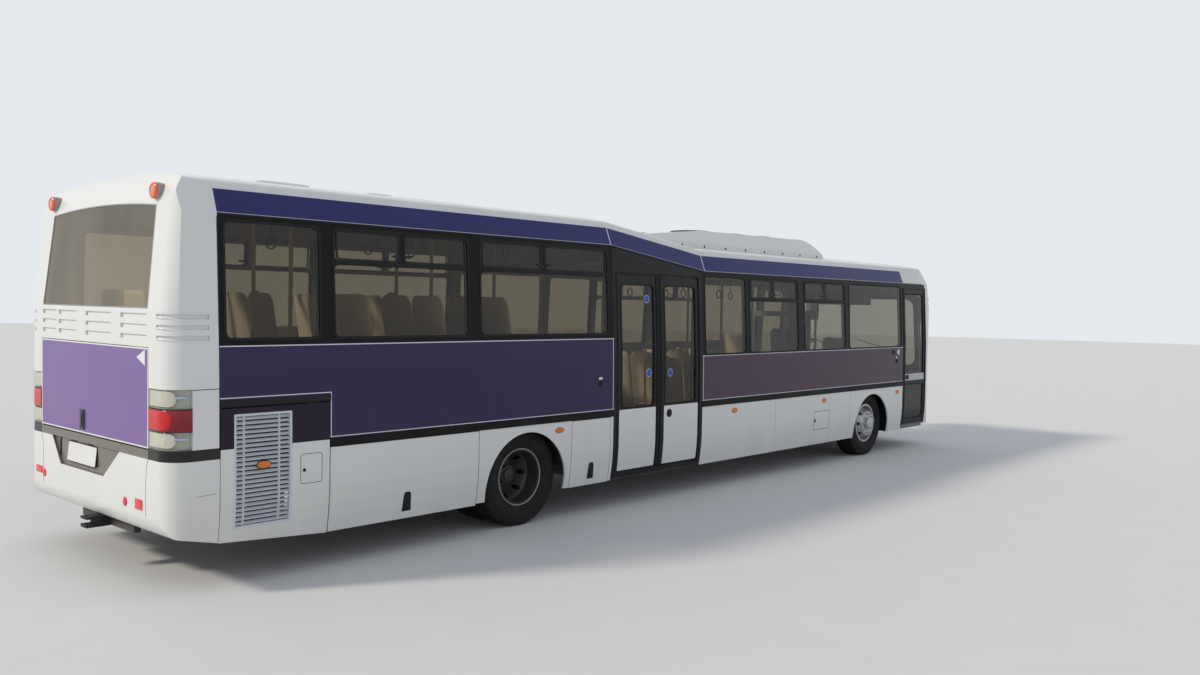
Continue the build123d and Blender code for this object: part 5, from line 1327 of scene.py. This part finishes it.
def door_fittings():
    """The middle door's button, and the strip and handle of the front door."""
    place = side_place(RIGHT, DOOR_BACK)
    knob = Form().turned([(0.0, 0.008), (0.02, 0.008), (0.023, 0.004), (0.036, 0.004), (0.044, 0.002),
                          (0.047, -0.004)], on_side(RIGHT, 5.378, 0.903, -0.002), (0, -1, 0), 36)
    knob.make("middle_door_button", "trim", "middle_door_front")
    strip = Form()
    panel(strip, 10.925, 11.565, 1.0, 1.096, -0.009, 0.0, 0.01)
    strip.make("front_door_strip", "light_grey", "front_door", edge=0.001)
    handle = Form().rim(place, (10.95, 11.05, 1.016, 1.082), (0.0, 0.014), (-0.008, 0.01), 0.003, 0.009)
    handle.plate(place, rounded(10.956, 11.044, 1.022, 1.076, 0.01), 0.002, 0.0065)
    handle.make("front_door_handle", "trim", "front_door", edge=0.001)


def doorway_rubbers():
    """Rubber up both sides of the doorways, and over the middle one."""
    top, width = 2.343, 0.02
    frames = Form()
    for x0, x1, crossbar in ((4.553, 5.897, True), (10.885, 11.604, False)):
        for low, high in ((x0 - width, x0), (x1, x1 + width)):
            stack(frames, [(z, low, high) for z in side_heights(0.34, top + width)], -0.01, 0.004)
        if crossbar:
            over = [(x0, top), (x1, top), (x1, top + width), (x0, top + width)]
            frames.plate(side_place(RIGHT), over, -0.01, 0.004)
    frames.make("door_frame_rubbers", "seal", edge=0.001)


def doors():
    for body, free_edge, way, panes in LEAVES:
        door_seals(body, free_edge, way, panes)
        grab_rail(body, free_edge - way * 0.11)
    leaf_panels()
    plain_discs()
    door_fittings()
    doorway_rubbers()


# Roof

UNIT_COVERS = [(x0, x1, y0, y1) for x0, x1 in ((6.5, 7.12), (7.18, 7.80), (7.86, 8.42))
               for y0, y1 in ((-0.78, -0.04), (0.04, 0.78))]
FANS = [(x, y) for x in (6.81, 7.49, 8.14) for y in (-0.41, 0.41)]
# Hatches: x from, x to, half width, top
HATCHES = [(1.15, 1.65, 0.33, 3.002), (2.2, 2.5, 0.33, 2.996), (2.52, 3.3, 0.30, 2.99),
           (9.48, 10.2, 0.33, 2.79)]


def unit_top(x, y, height):
    """A point over the air unit's gently rising top."""
    unit_x, length, unit_z, rise = 6.42, 2.03, 2.905, 0.02
    return at(x, y, unit_z + rise * (x - unit_x) / length + height)


def fan_guard(form, centre):
    """Rings and spokes of wire over a fan."""
    for radius in (0.06, 0.1, 0.14, 0.18, 0.22):
        low, high = radius - 0.003, radius + 0.003
        form.turned([(low, 0.0), (low, 0.012), (high, 0.012), (high, 0.0)], centre, (0, 0, 1), 40, True)
    form.turned([(0.225, -0.002), (0.225, 0.018), (0.24, 0.02), (0.25, 0.012), (0.252, -0.002)], centre,
                (0, 0, 1), 40, True)
    middle = centre + Vector((0, 0, 0.006))
    for k in range(8):
        angle = math.pi * k / 8
        out = Vector((math.cos(angle), math.sin(angle), 0)) * 0.225
        form.tube([middle - out, middle + out], 0.003, 6)


def roof_unit():
    """Covers, fans and fixings of the air unit."""
    covers, fans, wells, fixings = (Form() for _ in range(4))
    for box in UNIT_COVERS:
        covers.plate(unit_top, grown(box, 0.0, 0.04), -0.003, 0.006)
    covers.make("roof_unit_covers", "white", edge=0.003)
    for x, y in FANS:
        centre = unit_top(x, y, 0.006)
        fan_guard(fans, centre)
        wells.turned([(0.0, 0.001), (0.224, 0.001), (0.224, -0.001)], centre, (0, 0, 1), 40)
    fans.make("roof_unit_fan_guards", "black")
    wells.make("roof_unit_fan_wells", "trim")
    bolt = [(0.0, 0.008), (0.008, 0.007), (0.013, 0.002), (0.013, -0.004)]
    for side in SIDES:
        for x in spread(5.6, 8.96, 9):
            fixings.turned(bolt, at(x, side * 0.9, 2.72), (0, side, 0), 16)
    fixings.make("roof_unit_fixings", "trim")


def hatches():
    """Rims and domes of the roof hatches."""
    rim = [(0.0, -0.08), (0.0, -0.02), (0.008, -0.012), (0.03, -0.010), (0.032, -0.08)]
    dome = [(0.034, -0.08), (0.034, -0.014), (0.042, -0.008), (0.075, -0.002), (0.12, 0.0)]
    rims, domes = Form(), Form()
    for x0, x1, half, top in HATCHES:
        for form, profile, closed in ((rims, rim, True), (domes, dome, False)):
            form.skin([[at(x, y, top + rise) for x, y in grown((x0, x1, -half, half), -inset, 0.05)]
                       for inset, rise in profile], round_run=closed)
    rims.make("hatch_rims", "white", replaces=("roof_hatches",))
    domes.make("hatch_domes", "hatch_dome")


# Inside

# Ceilings: rail from, rail to, rail z, lamp from, lamp to, lamp z
CEILINGS = [(1.3, 4.2, 2.72, 1.0, 4.3, 2.805), (6.1, 10.2, 2.38, 6.15, 10.6, 2.565)]
RAIL_Y, LOOPS_PER_RAIL, HANGERS_PER_RAIL = 0.42, 5, 4


def hanging_loop(form, x, y, z):
    """A strap and its loop under a rail."""
    form.tube([(x, y, z), (x, y, z - 0.14)], 0.008, 8, flat=0.4)
    form.tube([(x + 0.045 * math.cos(a), y, z - 0.19 + 0.05 * math.sin(a)) for a in turns(20)], 0.008, 8,
              closed=True)


def ceiling_rails():
    """Rails under the ceiling on hangers and clamps, with hanging loops."""
    rails, loops, clamps = Form(), Form(), Form()
    for side in SIDES:
        for x0, x1, rail_z, _, _, _ in CEILINGS:
            start, end = (at(x, side * RAIL_Y, rail_z) for x in (x0, x1))
            rails.tube([start, end], 0.016)
            for k in range(HANGERS_PER_RAIL):
                x, y, z = start.lerp(end, (k + 0.5) / HANGERS_PER_RAIL)
                rails.tube([(x, y, z), (x, y, z + 0.16)], 0.010, 10)
                clamps.turned([(0.026, -0.02), (0.026, 0.02)], (x, y, z), (1, 0, 0), 16)
            for k in range(LOOPS_PER_RAIL):
                hanging_loop(loops, *start.lerp(end, (k + 0.8) / (LOOPS_PER_RAIL + 0.6)))
    rails.make("ceiling_rails", "yellow")
    loops.make("hanging_loops", "dark_grey")
    clamps.make("rail_clamps", "dark_grey")


def ceiling_lights():
    """Long lamps under the ceiling."""
    profile = [(0.70, 0.0), (0.78, -0.03), (0.92, -0.035), (0.96, 0.0)]
    lights = Form()
    for _, _, _, x0, x1, lamp_z in CEILINGS:
        for side in SIDES:
            lights.swept(lambda x, y, rise: at(x, side * y, lamp_z + rise), profile, (x0, x1))
    lights.make("ceiling_lights", "lamp_cover", edge=0.004)


def display():
    """A display with rows of plain dots behind the right front windows."""
    case, dots = Form(), Form()
    case.plate(at, rounded(9.62, 9.70, -1.10, -0.55, 0.01), 2.09, 2.30)
    case.plate(at, rounded(9.35, 10.05, -1.15, -1.09, 0.01), 2.09, 2.31)
    case.make("display_cases", "trim", edge=0.004)
    half = 0.004
    square = ((-half, -half), (half, -half), (half, half), (-half, half))
    for row in range(6):
        for column in range(44):
            x, z = 9.38 + 0.015 * column, 2.13 + 0.028 * row
            dots.add([at(x + a, -1.1512, z + b) for a, b in square], [[0, 1, 2, 3]])
    dots.make("display_dots", "amber_dots")


# Front


def front_x(y, z):
    """The front wall: a bow across and a lean above the lamps."""
    bow_r, lean, foot_z, height = 6.0, 0.2, 1.0, 1.42
    bow = bow_r - math.sqrt(bow_r * bow_r - y * y)
    return BODY_LENGTH - bow - lean * max(0.0, z - foot_z) / height


def front_place(y, z, depth):
    """Outlines drawn as (y, z) on the front wall."""
    return at(front_x(y, z) + depth, y, z)


def windscreen_trim():
    """Seals and dark borders of the windscreen and the sign's pane, and the blank sign's case."""
    seals, border, case = Form(), Form(), Form()
    seals.rim(front_place, (-1.135, 1.135, 1.065, 2.3), (0.0, 0.09), (-0.023, 0.075), -0.006, 0.004)
    seals.rim(front_place, (-0.772, 0.772, 2.348, 2.572), (0.0, 0.05), (-0.02, 0.035), -0.006, 0.004)
    seals.make("windscreen_seals", "seal", edge=0.001)
    for outer, inner in ((rounded(-1.11, 1.11, 1.09, 2.275, 0.07), rounded(-1.03, 1.03, 1.19, 2.19, 0.12)),
                         (rounded(-0.75, 0.75, 2.37, 2.55, 0.03), rounded(-0.7, 0.7, 2.395, 2.525, 0.02))):
        border.frame(front_place, outer, inner, -0.013, -0.011)
    border.make("windscreen_borders", "trim")
    case.plate(lambda y, z, depth: at(front_x(y, 2.45) - 0.14 + depth, y, z),
               rounded(-0.7, 0.7, 2.38, 2.53, 0.02), 0.0, 0.05)
    case.make("front_display_case", "trim", edge=0.004)


def wipers():
    """Two arms with blades at rest low on the windscreen."""
    form = Form()
    for rest in (-0.12, -1.0):
        pivot = front_place(rest + 0.05, 1.02, 0.03)
        tip = front_place(rest + 0.55, 1.42, 0.034)
        form.turned([(0.0, 0.02), (0.02, 0.016), (0.026, 0.0), (0.026, -0.03)], pivot, (1, 0, 0), 20)
        form.tube([pivot, pivot.lerp(tip, 0.5) + Vector((0.018, 0, 0)), tip], 0.009, 8, flat=0.6)
        blade = [front_place(rest + 0.18 + 0.08 * k, 1.36 + 0.018 * k, 0.012) for k in range(11)]
        form.tube(blade, 0.007, 8)
        form.tube([p + Vector((0.012, 0, 0)) for p in blade[1:-1]], 0.005, 6)
    form.make("wipers", "trim")


def headlamps():
    """Bowls and clear covers of the headlamps."""
    bowls, covers = Form(), Form()
    lamp_y, lamp_z = 0.95, 0.71
    for side in SIDES:
        for y, radius in ((0.87, 0.062), (1.0, 0.055)):
            centre = front_place(side * y, lamp_z, -0.035)
            bowls.turned([(radius, 0.02), (radius * 0.95, 0.008), (radius * 0.6, -0.004), (0.0, -0.01),
                          (0.0, -0.014), (radius * 1.05, -0.014), (radius * 1.05, 0.02)], centre,
                         (1, 0, 0), 36)
            bowls.turned([(0.0, 0.012), (0.012, 0.008), (0.014, -0.006)], centre, (1, 0, 0), 18)
        rings = []
        for share, depth in ((1.0, -0.004), (0.985, 0.002), (0.9, 0.006), (0.5, 0.009), (0.0, 0.01)):
            half_y, half_z = 0.158 * share + 1e-4, 0.088 * share + 1e-4
            outline = rounded(-half_y, half_y, -half_z, half_z, 0.058 * share + 5e-5)
            rings.append([front_place(side * lamp_y + y, lamp_z + z, depth) for y, z in outline])
        covers.skin(rings, caps=False)
    bowls.make("headlamp_bowls", "reflector")
    covers.make("headlamp_covers", "lamp_glass")


def front_plate_and_grille():
    """The blank plate of the front bumper and five ribs under the windscreen."""
    plate = Form().plate(front_place, rounded(-0.26, 0.26, 0.47, 0.58, 0.01), 0.004, 0.006)
    plate.make("front_blank_plate", "white")
    rib = ((-0.006, 0.0), (-0.004, 0.006), (0.006, 0.003), (0.006, -0.002))
    grille = Form()
    for z in spread(0.82, 0.908, 5):
        grille.swept(front_place, [(z + rise, out) for rise, out in rib], spread(-0.45, 0.45, 5))
    grille.make("front_grille_ribs", "trim")


def mirror_faces():
    """Silvered faces on the mirror heads, looking back."""
    faces = Form()
    mirror_x = 12.02
    for side in SIDES:
        y0, y1 = sorted((side * 0.875, side * 1.045))
        for z0, z1, radius in ((1.99, 2.222, 0.03), (1.858, 1.972, 0.025)):
            faces.plate(lambda y, z, depth: at(mirror_x - depth, y, z), rounded(y0, y1, z0, z1, radius),
                        -0.002, 0.001)
    faces.make("mirror_faces", "reflector", slot="mirror_silver")


for sub_part in (window_seals, flap_hinge_cover, flap_catches, filler_hatch, side_locks, side_joints,
                 drip_rails, rear_lights, rear_window_seal, vent_lips, lid_handle, number_plate,
                 rear_reflectors, rear_joints, beacons, marker_lamps, grille_fittings, wheels,
                 passenger_seats, driver_place, doors, roof_unit, hatches, ceiling_rails, ceiling_lights,
                 display, windscreen_trim, wipers, headlamps, front_plate_and_grille, mirror_faces):
    sub_part()


# Stage, light and camera

SUN_FROM = (-0.8, 0.42, 0.62)
# The camera, from a fit to the bus's edges: heading, pitch and roll in degrees, and its place
CAMERA_ANGLES, CAMERA_SPOT = (41.97, -1.896, 1.041), (-3.111, -7.899, 2.043)
SENSOR_WIDTH, FOCAL_PIXELS, PHOTO_WIDTH = 36.0, 1020.65, 1200


def stage():
    """A wide round floor."""
    bpy.ops.mesh.primitive_circle_add(vertices=96, radius=70, fill_type="NGON")
    floor = bpy.context.object
    floor.name = "stage_floor"
    floor.data.materials.append(MATERIALS["stage"])


def surroundings():
    """Soft light from all round, and a pale, even backdrop for what is seen, mirrored or shines through."""
    world = bpy.data.worlds.new("studio")
    bpy.context.scene.world = world
    world.use_nodes = True
    tree = Nodes(world.node_tree)
    seen = tree.node("LightPath", out="Is Camera Ray")
    rays = seen.socket.node.outputs
    for ray in ("Is Glossy Ray", "Is Transmission Ray"):
        seen = seen.sum("MAXIMUM", seen, Link(tree, rays[ray]))
    room = tree.node("Background", sockets={"Color": (0.86, 0.9, 1.0), "Strength": 0.62})
    backdrop = tree.node("Background", sockets={"Color": (0.78, 0.82, 0.86), "Strength": 1.0})
    mix = tree.node("MixShader", sockets={0: seen, 1: room, 2: backdrop})
    tree.node("OutputWorld", sockets={"Surface": mix})


def sun():
    """A warm, wide sun behind the bus and to its left."""
    lamp = bpy.data.lights.new("key", "SUN")
    lamp.energy = 2.1
    lamp.color = (1.0, 0.93, 0.82)
    lamp.angle = math.radians(8)
    key = bpy.data.objects.new("key", lamp)
    key.rotation_euler = Vector(SUN_FROM).to_track_quat("Z", "Y").to_euler()
    bpy.context.scene.collection.objects.link(key)


def camera():
    """The photograph's point of view."""
    heading, pitch, roll = (math.radians(a) for a in CAMERA_ANGLES)
    ahead = Vector((math.cos(pitch) * math.cos(heading), math.cos(pitch) * math.sin(heading),
                    math.sin(pitch)))
    right = Vector((math.sin(heading), -math.cos(heading), 0))
    above = right.cross(ahead)
    turned_right = right * math.cos(roll) + above * math.sin(roll)
    turned_up = above * math.cos(roll) - right * math.sin(roll)
    data = bpy.data.cameras.new("view")
    data.sensor_width = SENSOR_WIDTH
    data.lens = SENSOR_WIDTH * FOCAL_PIXELS / PHOTO_WIDTH
    data.clip_end = 300.0
    eye = bpy.data.objects.new("view", data)
    place = Matrix((turned_right, turned_up, -ahead)).transposed().to_4x4()
    place.translation = at(*CAMERA_SPOT)
    eye.matrix_world = place
    bpy.context.scene.collection.objects.link(eye)
    bpy.context.scene.camera = eye


stage()
surroundings()
sun()
camera()
bpy.context.scene.view_settings.view_transform = "Standard"
